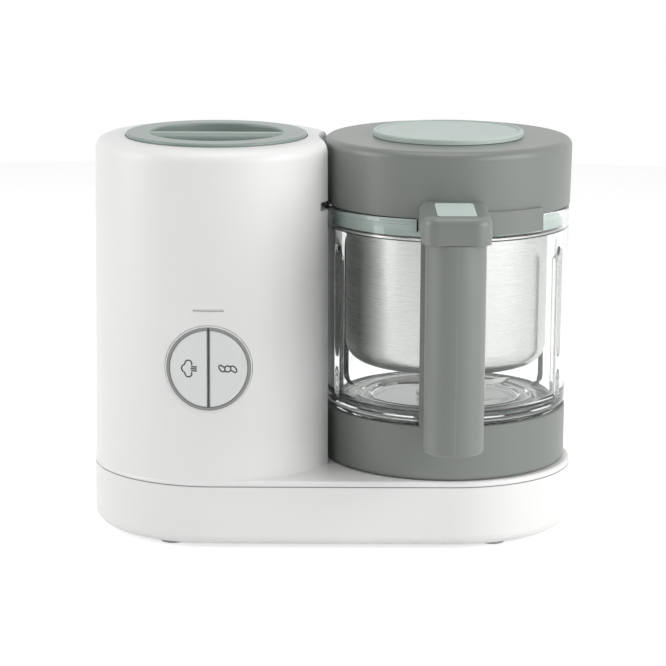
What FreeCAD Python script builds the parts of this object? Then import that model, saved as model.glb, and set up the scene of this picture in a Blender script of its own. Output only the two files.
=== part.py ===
import FreeCAD, Part
import math
import os
import re
import Sketcher

# Baby food maker: a steam boiler tower and a blender jug side by side on one long base.
# Millimetres. X runs along the base from the tower to the jug, Z is up, the front is -Y.
# Every sub-part is drawn about the middle of the base and then moved back by row_shift,
# so that the origin lies under the middle of the whole outline, handle included.

os.makedirs("parts", exist_ok=True)
doc = FreeCAD.newDocument("baby_food_maker")
dims = doc.addObject("Spreadsheet::Sheet", "Dims")

SIZES = [
    # Base
    ("end_margin", 2.0, "base beyond the jug, past the match with the tower end"),
    ("base_radius", 72.0, "end radius of the base, half of its depth"),
    ("foot_height", 2.7, "height of the rubber feet under the tray"),
    ("foot_radius", 7.0, "radius of a rubber foot"),
    ("foot_across", 92.0, "foot centre from the middle along X"),
    ("foot_depth", 50.0, "foot centre from the middle along Y"),
    ("tray_height", 34.7, "height of the base tray"),
    ("tray_wall", 2.5, "wall of the base tray"),
    ("tray_floor", 2.5, "floor of the base tray"),
    ("tray_round", 6.0, "rounding of the lower edge of the tray"),
    ("deck_thick", 3.1, "deck on top of the tray"),
    ("deck_round", 2.0, "rounding of the deck edge"),
    ("screw_across", 108.0, "base screw from the middle along X"),
    ("screw_depth", 38.0, "base screw from the middle along Y"),
    ("screw_radius", 1.5, "shank radius of a base screw"),
    ("screw_length", 17.0, "shank length of a base screw"),
    ("head_radius", 3.2, "head radius of a base screw"),
    ("head_height", 2.4, "head height of a base screw"),
    ("post_radius", 6.0, "post round each base screw"),
    ("post_height", 9.3, "height of the tray post"),
    ("gland_radius", 5.7, "cord gland radius"),
    ("gland_bore", 3.3, "bore of the cord gland"),
    ("gland_across", -30.0, "cord gland along X"),
    ("gland_level", 20.0, "height of the cord gland"),
    # Tower
    ("tower_inset", 0.4, "tower wall in from the base edge at the deck"),
    ("tower_taper", 1.7, "loss of radius from the deck to the tower top"),
    ("tower_top", 228.7, "height of the tower top"),
    ("tower_round", 7.0, "rounding of the tower top edge"),
    ("shell", 2.5, "wall of the housing"),
    ("recess_gap", 4.6, "hollow in the tower beside the jug, out from the collar"),
    ("flange_gap", 1.0, "boiler rim to the wall of that hollow"),
    ("slot_deep", 7.0, "depth of the rim slot in the hollow"),
    ("slot_level", 189.8, "lower side of the rim slot"),
    ("slot_height", 5.1, "height of the rim slot"),
    ("cap_hole_radius", 52.9, "opening in the tower top"),
    # Buttons
    ("button_offset", -2.5, "button axis from the tower axis along X"),
    ("button_level", 105.8, "height of the button axis"),
    ("ring_radius", 24.6, "outside of the button ring"),
    ("ring_inner", 22.2, "inside of the button ring"),
    ("ring_proud", 0.8, "how far the ring stands out of the tower"),
    ("button_proud", 0.5, "how far the buttons stand out of the tower"),
    ("divider_width", 1.2, "bar between the two buttons"),
    ("board_back", 17.6, "front of the control board behind the tower skin"),
    ("board_thick", 1.6, "thickness of the control board"),
    ("board_width", 56.0, "width of the control board"),
    ("board_height", 42.0, "height of the control board"),
    ("switch_side", 6.0, "side of a push switch"),
    ("switch_height", 4.0, "height of a push switch"),
    ("lamp_width", 17.4, "width of the signal lamp window"),
    ("lamp_height", 1.4, "height of the signal lamp window"),
    ("lamp_level", 139.0, "height of the signal lamp window"),
    # Boiler
    ("boiler_radius", 48.0, "outside of the boiler"),
    ("boiler_wall", 2.0, "wall of the boiler"),
    ("boiler_depth", 98.2, "depth of the boiler under the tower top wall"),
    ("boiler_round", 8.0, "rounding of the boiler bottom"),
    ("flange_reach", 7.5, "rim of the boiler out from its wall"),
    ("flange_thick", 2.5, "thickness of the boiler rim"),
    ("heater_radius", 38.0, "outside of the heating plate"),
    ("heater_thick", 8.0, "thickness of the heating plate"),
    ("nozzle_level", 210.0, "height of the steam nozzle"),
    ("nozzle_radius", 4.5, "outside of the steam nozzle"),
    ("nozzle_bore", 2.8, "bore of the steam nozzle"),
    ("cap_radius", 52.4, "outside of the boiler cap"),
    ("cap_rim", 2.1, "thickness of the cap rim"),
    ("cap_well", 38.7, "radius of the grip well in the cap"),
    ("cap_well_depth", 15.6, "depth of the grip well"),
    ("plug_gap", 1.5, "plug under the cap to the boiler wall"),
    ("cap_bar", 13.0, "width of the grip bar across the cap"),
    ("gasket_thick", 1.7, "thickness of the cap gasket"),
    # Drive
    ("motor_radius", 27.0, "outside of the motor"),
    ("motor_height", 60.0, "height of the motor"),
    ("stator_radius", 20.0, "inside of the motor"),
    ("motor_shaft", 3.0, "motor shaft radius"),
    ("motor_pulley_radius", 13.0, "belt seat of the motor pulley"),
    ("spindle_pulley_radius", 29.0, "belt seat of the spindle pulley"),
    ("pulley_level", 13.0, "underside of the pulleys"),
    ("pulley_width", 11.4, "width of the pulleys"),
    ("pulley_flange", 2.5, "height of the pulley flanges over the belt seat"),
    ("flange_width", 1.2, "thickness of a pulley flange"),
    ("belt_thick", 1.8, "thickness of the drive belt"),
    ("belt_gap", 0.15, "clearance between the belt and the pulleys"),
    ("spindle_radius", 4.0, "radius of the drive spindle"),
    ("bearing_radius", 9.0, "outside of the spindle bearings"),
    ("bearing_height", 5.8, "height of the lower bearing"),
    ("upper_bearing", 8.0, "height of the upper bearing"),
    ("run_gap", 0.05, "running clearance of a shaft"),
    ("dog_core", 6.0, "core radius of the drive dog"),
    ("dog_radius", 9.5, "radius over the wings of the drive dog"),
    ("dog_width", 4.6, "width of a wing of the drive dog"),
    ("dog_height", 10.7, "height of the drive dog"),
    # Jug
    ("fit_gap", 0.3, "clearance between pieces that part"),
    ("collar_radius", 70.4, "outside of the jug collar"),
    ("collar_height", 31.6, "height of the jug collar"),
    ("collar_wall", 3.1, "wall of the jug collar at the glass"),
    ("collar_skirt", 6.4, "wall of the jug collar at its foot"),
    ("collar_ledge", 20.7, "height of the ledge inside the collar"),
    ("ledge_thick", 3.0, "thickness of the ledge"),
    ("ledge_reach", 15.4, "ledge in from the outside of the collar"),
    ("seal_thick", 2.3, "thickness of the bowl seal"),
    ("glass_flare", 0.4, "glass at the rim out from the collar"),
    ("glass_step", 0.1, "glass over the collar in from the collar"),
    ("glass_rise", 118.5, "height of the glass over the collar"),
    ("mouth_wall", 4.0, "wall of the glass at the rim"),
    ("ledge_step", 2.0, "basket ledge in the glass"),
    ("glass_floor", 8.6, "thickness of the glass floor"),
    ("mouth_depth", 13.2, "basket ledge under the glass rim"),
    ("lug_out", 2.7, "rim lug out from the glass"),
    ("lug_height", 3.2, "height of the rim lug"),
    ("lug_angle", 74.0, "arc of the rim lug"),
    ("lug_drop", 7.0, "drop of the lug end beside the handle"),
    ("lug_end", 3.0, "arc of the lug end beside the handle"),
    ("rib_depth", 2.5, "depth of the ribs inside the glass"),
    ("rib_width", 5.0, "width of the ribs inside the glass"),
    ("rib_height", 88.0, "height of the ribs inside the glass"),
    ("spindle_seat", 12.0, "radius of the blade bearing in the glass floor"),
    ("seat_flange", 17.0, "flange radius of the blade bearing"),
    ("blade_reach", 42.0, "length of a blade from the axis"),
    ("blade_thick", 1.5, "thickness of a blade"),
    ("blade_width", 8.5, "width of a blade"),
    ("hub_radius", 8.0, "radius of the blade hub"),
    ("hub_height", 9.0, "height of the blade hub"),
    ("cup_radius", 15.0, "outside of the driven dog"),
    # Handle
    ("handle_reach", 128.0, "front of the handle from the jug axis"),
    ("handle_width", 33.0, "width of the handle grip"),
    ("grip_depth", 27.0, "front to back of the handle grip"),
    ("grip_flat", 1.0, "flat left between the two front rounds of the grip"),
    ("grip_edge", 1.5, "rounding of the lower edge of the grip"),
    ("spine_round", 7.0, "rounding of the lower corners of the spine"),
    ("spine_width", 35.6, "width of the handle spine"),
    ("spine_thick", 3.4, "thickness of the handle spine"),
    ("handle_low", 69.0, "lower end of the handle"),
    ("handle_high", 186.0, "upper end of the handle"),
    ("bridge_low", 14.0, "height of the lower handle bridge"),
    ("bridge_high", 16.0, "height of the upper handle bridge"),
    # Basket
    ("basket_gap", 6.3, "steam basket to the glass wall"),
    ("basket_wall", 1.0, "wall of the steam basket"),
    ("hang_gap", 0.4, "basket rim to the glass mouth"),
    ("basket_depth", 80.3, "depth of the steam basket"),
    ("basket_round", 12.0, "rounding of the basket bottom"),
    ("basket_hole", 1.9, "radius of the holes in the basket"),
    # Lid
    ("lid_flare", 1.0, "lid at the top out from the glass"),
    ("lid_step", 0.3, "lid at the rim out from the glass"),
    ("lid_height", 37.5, "height of the lid"),
    ("lid_wall", 2.5, "wall of the lid"),
    ("lid_round", 4.5, "rounding of the lid top edge"),
    ("skirt_gap", 4.3, "inner skirt of the lid to the glass mouth"),
    ("skirt_drop", 11.5, "inner skirt below the lid rim"),
    ("lid_hole", 36.0, "opening in the lid top"),
    ("band_out", 2.6, "lid band out from the glass"),
    ("band_drop", 9.0, "lid band below the lid rim"),
    ("band_rise", 4.0, "lid band above the lid rim"),
    ("band_angle", 30.0, "arc of the lid band"),
    ("band_clear", 0.5, "lid band clear of the handle spine, as an angle"),
    ("latch_width", 37.8, "width of the latch block"),
    ("latch_height", 15.2, "height of the latch block"),
    ("latch_round", 9.0, "rounding of the latch corners"),
    ("latch_edge", 4.5, "rounding of the upper latch edges"),
    ("key_width", 21.7, "width of the release key"),
    ("key_front", 8.5, "front end of the release key from the handle front"),
    ("key_gap", 5.2, "rear end of the release key from the glass"),
    ("key_thick", 6.0, "thickness of the release key"),
    ("key_travel", 2.0, "travel of the release key"),
    ("stopper_radius", 43.5, "disc of the lid stopper"),
    ("stopper_thick", 3.2, "thickness of the stopper disc"),
    ("stopper_lip", 2.2, "width of the raised lip of the stopper"),
    ("stopper_dish", 0.5, "depth of the dish inside the lip"),
    ("stopper_plug", 35.5, "plug radius of the lid stopper"),
    ("stopper_depth", 8.3, "depth of the stopper plug"),
]

# Sizes that follow from others
FOLLOWED = [
    ("glass_radius", "=collar_radius + glass_flare", "outside of the glass at the rim"),
    ("glass_low_radius", "=collar_radius - glass_step", "outside of the glass over the collar"),
    ("glass_mouth", "=glass_radius - mouth_wall", "inside of the glass at the rim"),
    ("glass_inner", "=glass_mouth - ledge_step", "inside of the glass under the basket ledge"),
    ("lug_radius", "=glass_radius + lug_out", "outside of the rim lug of the glass"),
    ("ledge_inner", "=collar_radius - ledge_reach", "inside of the collar ledge"),
    ("basket_radius", "=glass_inner - basket_gap", "outside of the steam basket"),
    ("basket_rim", "=glass_mouth - hang_gap", "rim radius of the steam basket"),
    ("lid_radius", "=glass_radius + lid_flare", "outside of the lid at the top"),
    ("lid_low_radius", "=glass_radius + lid_step", "outside of the lid at the rim"),
    ("skirt_radius", "=glass_mouth - skirt_gap", "outside of the inner skirt of the lid"),
    ("band_radius", "=glass_radius + band_out", "outside of the lid band beside the latch"),
    ("key_back", "=glass_radius + key_gap", "rear end of the release key from the jug axis"),
    ("key_length", "=handle_reach - key_front - key_back", "length of the release key"),
    ("recess_radius", "=collar_radius + recess_gap", "hollow in the tower beside the jug"),
    ("slot_radius", "=recess_radius + slot_deep", "depth line of the rim slot in the hollow"),
    ("boiler_flange", "=boiler_radius + flange_reach", "rim of the boiler"),
    ("cap_plug", "=boiler_radius - boiler_wall - plug_gap", "radius of the plug under the cap"),
    ("column_spacing", "=recess_radius + shell + boiler_flange + flange_gap", "tower axis to jug axis"),
    ("board_level", "=base_radius - tower_inset - board_back", "front of the control board from the tower axis"),
]

for row, (alias, value, note) in enumerate(SIZES + FOLLOWED, 1):
    dims.set("A%d" % row, alias)
    dims.set("B%d" % row, str(value))
    dims.setAlias("B%d" % row, alias)
    dims.set("C%d" % row, note)
doc.recompute()

NAMES = set(alias for alias, value, note in SIZES + FOLLOWED)
PIECES = []


def bound(text):
    """Expression text with every size name pointed at its cell."""
    return re.sub(r"[a-z][a-z_]*", lambda m: "Dims." + m.group(0) if m.group(0) in NAMES else m.group(0), str(text))


probe = doc.addObject("App::FeaturePython", "Probe")


def val(text):
    """Present number of an expression."""
    return float(probe.evalExpression(bound(text)))


def bind(obj, prop, text):
    obj.setExpression(prop, bound(text))


def place(obj, x="0", y="0", z="0"):
    for axis, text in (("x", x), ("y", y), ("z", z)):
        if str(text) != "0":
            bind(obj, "Placement.Base." + axis, text)


def cyl(name, r, h, x="0", y="0", z="0", axis="z"):
    obj = doc.addObject("Part::Cylinder", name)
    bind(obj, "Radius", r)
    bind(obj, "Height", h)
    if axis == "y":
        obj.Placement = FreeCAD.Placement(FreeCAD.Vector(), FreeCAD.Rotation(FreeCAD.Vector(1, 0, 0), -90))
    if axis == "x":
        obj.Placement = FreeCAD.Placement(FreeCAD.Vector(), FreeCAD.Rotation(FreeCAD.Vector(0, 1, 0), 90))
    place(obj, x, y, z)
    return obj


def cone(name, r1, r2, h, x="0", y="0", z="0"):
    obj = doc.addObject("Part::Cone", name)
    bind(obj, "Radius1", r1)
    bind(obj, "Radius2", r2)
    bind(obj, "Height", h)
    place(obj, x, y, z)
    return obj


def box(name, lx, ly, lz, x="0", y="0", z="0"):
    obj = doc.addObject("Part::Box", name)
    bind(obj, "Length", lx)
    bind(obj, "Width", ly)
    bind(obj, "Height", lz)
    place(obj, x, y, z)
    return obj


def fuse(name, parts):
    obj = doc.addObject("Part::MultiFuse", name)
    obj.Shapes = parts
    obj.Refine = True
    return obj


def common(name, parts):
    obj = doc.addObject("Part::MultiCommon", name)
    obj.Shapes = parts
    obj.Refine = True
    return obj


def cut(name, base, tools):
    tool = tools[0] if len(tools) == 1 else fuse(name + "_tools", tools)
    obj = doc.addObject("Part::Cut", name)
    obj.Base = base
    obj.Tool = tool
    obj.Refine = True
    return obj


def rounded(name, base, chosen, size):
    """Fillet of the edges that the test picks."""
    doc.recompute()
    obj = doc.addObject("Part::Fillet", name)
    obj.Base = base
    r = val(size)
    obj.Edges = [(i, r, r) for i, edge in enumerate(base.Shape.Edges, 1) if chosen(edge)]
    return obj


def origin_plane(body, role):
    return [f for f in body.Origin.OriginFeatures if f.Role == role][0]


def sketch_on(body, name, role, lift="0"):
    sk = body.newObject("Sketcher::SketchObject", name)
    sk.AttachmentSupport = [(origin_plane(body, role), "")]
    sk.MapMode = "FlatFace"
    if str(lift) != "0":
        sk.setExpression("AttachmentOffset.Base.z", bound(lift))
    return sk


def pin_point(sk, geo, pos, x, y):
    """Ties one end point to its two coordinates."""
    i = sk.addConstraint(Sketcher.Constraint("DistanceX", -1, 1, geo, pos, val(x)))
    sk.setExpression("Constraints[%d]" % i, bound(x))
    i = sk.addConstraint(Sketcher.Constraint("DistanceY", -1, 1, geo, pos, val(y)))
    sk.setExpression("Constraints[%d]" % i, bound(y))


def heading(a, b):
    """Main direction from one corner to the next, along x or along y."""
    dx, dy = b[0] - a[0], b[1] - a[1]
    if abs(dx) > abs(dy):
        return (1 if dx > 0 else -1, 0)
    return (0, 1 if dy > 0 else -1)


def moved(text, sign, step):
    if sign == 0:
        return text
    return "(%s) %s (%s)" % (text, "+" if sign > 0 else "-", step)


def outline(sk, corners):
    """Closed outline of lines; a third value at a corner rounds it."""
    pts = [(val(c[0]), val(c[1])) for c in corners]
    count = len(corners)
    joints = []
    for i, c in enumerate(corners):
        if len(c) == 2:
            joints.append((c, c, None, 0))
            continue
        a = heading(pts[i - 1], pts[i])
        b = heading(pts[i], pts[(i + 1) % count])
        first = (moved(c[0], -a[0], c[2]), moved(c[1], -a[1], c[2]))
        last = (moved(c[0], b[0], c[2]), moved(c[1], b[1], c[2]))
        joints.append((first, last, c[2], a[0] * b[1] - a[1] * b[0]))
    spot = lambda p: FreeCAD.Vector(val(p[0]), val(p[1]), 0)
    chain = []
    for i in range(count):
        first, last, size, turn = joints[i]
        if size is not None:
            p, q, r = spot(first), spot(last), val(size)
            corner = FreeCAD.Vector(pts[i][0], pts[i][1], 0)
            centre = p + q - corner
            begin, end = (p, q) if turn > 0 else (q, p)
            t0 = math.atan2(begin.y - centre.y, begin.x - centre.x)
            t1 = math.atan2(end.y - centre.y, end.x - centre.x)
            if t1 < t0:
                t1 += 2 * math.pi
            circle = Part.Circle(centre, FreeCAD.Vector(0, 0, 1), r)
            geo = sk.addGeometry(Part.ArcOfCircle(circle, t0, t1), False)
            k = sk.addConstraint(Sketcher.Constraint("Radius", geo, r))
            sk.setExpression("Constraints[%d]" % k, bound(size))
            chain.append((geo, 1 if turn > 0 else 2, 2 if turn > 0 else 1, first))
        nxt = joints[(i + 1) % count][0]
        geo = sk.addGeometry(Part.LineSegment(spot(last), spot(nxt)), False)
        chain.append((geo, 1, 2, last))
    for i, (geo, start, end, spot_text) in enumerate(chain):
        before = chain[i - 1]
        sk.addConstraint(Sketcher.Constraint("Coincident", before[0], before[2], geo, start))
        pin_point(sk, geo, start, spot_text[0], spot_text[1])


def turned(name, corners, x="0", y="0"):
    """Body of revolution about the upright axis; corners are radius and height."""
    body = doc.addObject("PartDesign::Body", name)
    sk = sketch_on(body, name + "_profile", "XZ_Plane")
    outline(sk, corners)
    rev = body.newObject("PartDesign::Revolution", name + "_turn")
    rev.Profile = sk
    rev.ReferenceAxis = (sk, ["V_Axis"])
    rev.Angle = 360
    body.Tip = rev
    place(body, x, y)
    return body


def add_turn(body, name, corners, angle, reverse=False):
    """Adds a part turn of a profile to a body."""
    sk = sketch_on(body, name + "_profile", "XZ_Plane")
    outline(sk, corners)
    rev = body.newObject("PartDesign::Revolution", name + "_turn")
    rev.Profile = sk
    rev.ReferenceAxis = (sk, ["V_Axis"])
    rev.Reversed = reverse
    bind(rev, "Angle", angle)
    body.Tip = rev
    return rev


def padded(name, corners, low, height, x="0", y="0"):
    """Body padded upward from an outline."""
    body = doc.addObject("PartDesign::Body", name)
    add_pad(body, name, corners, low, height)
    place(body, x, y)
    return body


def add_pad(body, name, corners, low, height):
    sk = sketch_on(body, name + "_outline", "XY_Plane", low)
    outline(sk, corners)
    pad = body.newObject("PartDesign::Pad", name + "_pad")
    pad.Profile = sk
    bind(pad, "Length", height)
    body.Tip = pad
    return sk, pad


def around(body, name, feature, sk, count):
    """Repeats a feature round the upright axis."""
    pattern = body.newObject("PartDesign::PolarPattern", name)
    pattern.Originals = [feature]
    pattern.Axis = (sk, ["N_Axis"])
    pattern.Angle = 360
    pattern.Occurrences = count
    body.Tip = pattern
    return pattern


def piece(obj, name):
    """Names a finished sub-part and moves it back with the row."""
    obj.Label = name
    old = [text for path, text in obj.ExpressionEngine if path.lstrip(".") == "Placement.Base.y"]
    text = ROW if not old else "(%s) + %s" % (old[0], bound(ROW))
    obj.setExpression("Placement.Base.y", bound(text) if not old else text)
    PIECES.append((name, obj))
    return obj


# Levels that follow from the sizes
ROW = "((handle_reach - base_radius) / 2)"
ENDS = "((column_spacing + end_margin) / 2)"
TOWER = "(-%s)" % ENDS
JUG = "(%s + column_spacing)" % TOWER
TOWER_LOW = "(base_radius - tower_inset)"
TOWER_HIGH = "(base_radius - tower_inset - tower_taper)"
FLOOR = "(foot_height + tray_floor)"
PART = "(foot_height + tray_height)"
DECK = "(%s + deck_thick)" % PART
COLLAR_LOW = "(%s + fit_gap)" % DECK
COLLAR_TOP = "(%s + collar_height)" % COLLAR_LOW
LEDGE = "(%s + collar_ledge)" % COLLAR_LOW
LEDGE_TOP = "(%s + ledge_thick)" % LEDGE
SEAL = "(%s + fit_gap)" % LEDGE_TOP
SEAL_TOP = "(%s + seal_thick)" % SEAL
GLASS = "(%s + fit_gap)" % SEAL_TOP
BOWL = "(%s + glass_floor)" % GLASS
SHOULDER = "(%s + fit_gap)" % COLLAR_TOP
RIM = "(%s + glass_rise)" % SHOULDER
HANG = "(%s - mouth_depth)" % RIM
LID = "(%s + fit_gap)" % RIM
LID_TOP = "(%s + lid_height)" % LID
ROOF = "(tower_top - shell)"
GASKET = "(%s + fit_gap)" % ROOF
CAP = "(%s + gasket_thick + fit_gap)" % GASKET
CAP_TOP = "(%s + cap_rim)" % CAP
TANK = "(%s - boiler_depth)" % ROOF
LATCH = "(handle_high + fit_gap)"
LATCH_TOP = "(%s + latch_height)" % LATCH


def stadium(name, r, low, height):
    """Long block with round ends."""
    return fuse(name, [
        box(name + "_mid", "2 * %s" % ENDS, "2 * (%s)" % r, height, "-%s" % ENDS, "-(%s)" % r, low),
        cyl(name + "_left", r, height, "-%s" % ENDS, "0", low),
        cyl(name + "_right", r, height, ENDS, "0", low),
    ])


def at_level(level):
    return lambda edge: abs(edge.BoundBox.ZMin - level) < 1e-4 and abs(edge.BoundBox.ZMax - level) < 1e-4


CORNERS = [("left_front", "-screw_across", "-screw_depth"), ("right_front", "screw_across", "-screw_depth"),
           ("left_rear", "-screw_across", "screw_depth"), ("right_rear", "screw_across", "screw_depth")]
FEET = [("left_front", "-foot_across", "-foot_depth"), ("right_front", "foot_across", "-foot_depth"),
        ("left_rear", "-foot_across", "foot_depth"), ("right_rear", "foot_across", "foot_depth")]

# Base tray: floor and wall, screw posts, spindle bearing seat, gland hole and cooling slots
tray_block = stadium("tray_block", "base_radius", "foot_height", "tray_height")
tray_soft = rounded("tray_soft", tray_block, at_level(val("foot_height")), "tray_round")
tray_hollow = stadium("tray_hollow", "base_radius - tray_wall", FLOOR, "tray_height")
tray_shell = cut("tray_shell", tray_soft, [tray_hollow])
posts = [cyl("tray_post_" + n, "post_radius", "post_height - 0.5", x, y, "foot_height + 0.5") for n, x, y in CORNERS]
seat = cyl("tray_seat", "bearing_radius + 3", "tray_floor - 0.5 + bearing_height", JUG, "0", "foot_height + 0.5")
tray_sum = fuse("tray_sum", [tray_shell, seat] + posts)
tray_cuts = [cyl("tray_bore", "bearing_radius + run_gap", "bearing_height + 1", JUG, "0", FLOOR)]
for n, x, y in CORNERS:
    tray_cuts.append(cyl("tray_hole_" + n, "screw_radius + fit_gap", "post_height + 2", x, y, "foot_height - 1"))
    tray_cuts.append(cyl("tray_sink_" + n, "head_radius + 0.4", "post_height / 2 + 1", x, y, "foot_height - 1"))
tray_cuts.append(cyl("tray_gland", "gland_radius + run_gap", "3 * tray_wall", "gland_across",
                     "base_radius - 2 * tray_wall", "gland_level", "y"))
for i in range(5):
    tray_cuts.append(box("tray_slot_%d" % i, "3", "36", "3 * tray_floor",
                         "%s + %d" % (TOWER, 8 * i - 17), "-18", "foot_height - tray_floor"))
base_tray = piece(cut("base_tray", tray_sum, tray_cuts), "base_tray")

# Rubber feet under the tray
feet = fuse("rubber_feet", [cyl("foot_" + n, "foot_radius", "foot_height", x, y) for n, x, y in FEET])
piece(feet, "rubber_feet")

# Base screws, heads up in the tray posts and shanks in the deck bosses
screws = []
for n, x, y in CORNERS:
    head = cyl("screw_head_" + n, "head_radius", "head_height", x, y, "foot_height + post_height / 2 - head_height")
    shank = cyl("screw_shank_" + n, "screw_radius", "screw_length", x, y, "foot_height + post_height / 2")
    key_slot = box("screw_slot_" + n, "2 * head_radius", "0.8", "1", "%s - head_radius" % x, "%s - 0.4" % y,
                   "foot_height + post_height / 2 - head_height")
    screws.append(cut("screw_" + n, fuse("screw_sum_" + n, [head, shank]), [key_slot]))
piece(fuse("base_screws", screws), "base_screws")

# Cord gland in the rear wall
gland_ring = fuse("gland_ring", [
    cyl("gland_body", "gland_radius", "tray_wall + 3", "gland_across", "base_radius - tray_wall - 3", "gland_level", "y"),
    cyl("gland_collar", "gland_radius + 2.5", "3", "gland_across", "base_radius - tray_wall - 3", "gland_level", "y"),
])
gland_hole = cyl("gland_hole", "gland_bore", "tray_wall + 8", "gland_across", "base_radius - tray_wall - 5",
                 "gland_level", "y")
piece(cut("cord_gland", gland_ring, [gland_hole]), "cord_gland")

# Main housing: deck and tower in one shell with a hollow for the jug
deck_block = stadium("deck_block", "base_radius", PART, "deck_thick")
deck_soft = rounded("deck_soft", deck_block, at_level(val(DECK)), "deck_round")
tower_block = turned("tower_block", [("0", PART), (TOWER_LOW, PART),
                                     (TOWER_HIGH, "tower_top", "tower_round"), ("0", "tower_top")], TOWER)
tower_room = turned("tower_room", [("0", DECK), ("%s - shell" % TOWER_LOW, DECK),
                                   ("%s - shell" % TOWER_HIGH, ROOF, "tower_round - shell"), ("0", ROOF)], TOWER)
recess = cyl("recess", "recess_radius", "tower_top", JUG, "0", DECK)
recess_back = cyl("recess_back", "recess_radius + shell", "tower_top", JUG, "0", PART)
slot_back = cyl("slot_back", "slot_radius + shell", "slot_height + 2 * shell", JUG, "0", "slot_level - shell")
room = cut("room", tower_room, [recess_back, slot_back])
tower_shell = cut("tower_shell", tower_block, [recess, room])
bosses = [cyl("deck_boss_" + n, "post_radius - 1.5", "%s + deck_thick / 2 - foot_height - post_height" % PART, x, y,
              "foot_height + post_height") for n, x, y in CORNERS]
bearing_boss = cyl("bearing_boss", "bearing_radius + 4", "upper_bearing + 2.4", JUG, "0",
                   "%s - upper_bearing - 0.9" % PART)
guide = cut("guide", cyl("guide_out", "collar_radius - collar_skirt - 2", "3.5", JUG, "0", "%s - 0.5" % DECK),
            [cyl("guide_in", "collar_radius - collar_skirt - 6", "8", JUG, "0", "%s - 2" % DECK)])
housing_sum = fuse("housing_sum", [deck_soft, tower_shell, bearing_boss, guide] + bosses)
BUTTONS = "(%s + button_offset)" % TOWER
NOZZLE_START = "(%s + boiler_radius + run_gap)" % TOWER
NOZZLE_END = "(%s - recess_radius + fit_gap)" % JUG
housing_cuts = [
    cyl("cap_hole", "cap_hole_radius", "4 * shell", TOWER, "0", "tower_top - 2 * shell"),
    cyl("rim_slot", "slot_radius", "slot_height", JUG, "0", "slot_level"),
    cyl("ring_hole", "ring_radius + fit_gap", "40", BUTTONS, "-board_level - 40", "button_level", "y"),
    cyl("nozzle_hole", "nozzle_radius + fit_gap", "%s + 1 - (%s)" % (NOZZLE_END, NOZZLE_START), NOZZLE_START, "0",
        "nozzle_level", "x"),
    cyl("spindle_hole", "spindle_radius + 2", "deck_thick + 4", JUG, "0", "%s - 2" % PART),
    cyl("bearing_bore", "bearing_radius + run_gap", "upper_bearing + 0.4", JUG, "0", "%s - upper_bearing - 1.4" % PART),
    cyl("motor_hole", "motor_shaft + 3", "deck_thick + 2", TOWER, "0", "%s - 1" % PART),
    box("lamp_slot", "lamp_width", "30", "lamp_height", "%s - lamp_width / 2" % BUTTONS, "-%s - 15" % TOWER_LOW,
        "lamp_level - lamp_height / 2"),
]
for n, x, y in CORNERS:
    housing_cuts.append(cyl("deck_pilot_" + n, "screw_radius + run_gap", "screw_length", x, y, "foot_height + post_height - 1"))
main_housing = piece(cut("main_housing", housing_sum, housing_cuts), "main_housing")

# Skin of the tower at a given stand-out, used to give the front pieces its curve


def tower_skin(name, out):
    return cone(name, "%s + (%s)" % (TOWER_LOW, out), "%s + (%s)" % (TOWER_HIGH, out), "tower_top - %s" % PART,
                TOWER, "0", PART)


# Button ring with the bar between the buttons
ring_tube = cut("ring_tube", cyl("ring_out", "ring_radius", "30", BUTTONS, "-board_level - 30", "button_level", "y"),
                [cyl("ring_in", "ring_inner", "60", BUTTONS, "-board_level - 45", "button_level", "y")])
divider = box("divider", "divider_width", "30", "2 * ring_inner + 1", "%s - divider_width / 2" % BUTTONS,
              "-board_level - 30", "button_level - ring_inner - 0.5")
button_ring = common("button_ring", [fuse("ring_sum", [ring_tube, divider]), tower_skin("ring_skin", "ring_proud")])
piece(button_ring, "button_ring")

# Signal lamp window over the buttons
lamp_bar = box("lamp_bar", "lamp_width - 0.2", "30", "lamp_height - 0.2", "%s - lamp_width / 2 + 0.1" % BUTTONS,
               "-%s - 15" % TOWER_LOW, "lamp_level - lamp_height / 2 + 0.1")
lamp = cut("lamp_window", common("lamp_front", [lamp_bar, tower_skin("lamp_skin", "0.1")]),
           [tower_skin("lamp_back", "-shell - 1.5")])
piece(lamp, "lamp_window")

# Two half round buttons with a stem each
for name, side in (("steam_button", -1), ("blend_button", 1)):
    disc = cyl(name + "_disc", "ring_inner - fit_gap", "30", BUTTONS, "-board_level - 39", "button_level", "y")
    edge = "divider_width / 2 + fit_gap"
    left = "%s - ring_inner" % BUTTONS if side < 0 else "%s + %s" % (BUTTONS, edge)
    half = box(name + "_half", "ring_inner - (%s)" % edge, "60", "2 * ring_inner", left, "-board_level - 45",
               "button_level - ring_inner")
    face = common(name + "_face", [disc, half, tower_skin(name + "_skin", "button_proud")])
    stem = cyl(name + "_stem", "2.4", "4", "%s %s ring_inner / 2" % (BUTTONS, "-" if side < 0 else "+"),
               "-board_level - switch_height - 6.8", "button_level", "y")
    piece(fuse(name, [face, stem]), name)

# Control board with a push switch behind each button
piece(box("control_board", "board_width", "board_thick", "board_height", "%s - board_width / 2" % BUTTONS,
          "-board_level", "button_level - board_height / 2"), "control_board")
switches = []
for n, sign in (("left", "-"), ("right", "+")):
    spot = "%s %s ring_inner / 2" % (BUTTONS, sign)
    switches.append(box("switch_box_" + n, "switch_side", "switch_height", "switch_side", "%s - switch_side / 2" % spot,
                        "-board_level - switch_height", "button_level - switch_side / 2"))
    switches.append(cyl("switch_pin_" + n, "1.7", "1", spot, "-board_level - switch_height - 1", "button_level", "y"))
piece(fuse("push_switches", switches), "push_switches")

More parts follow.
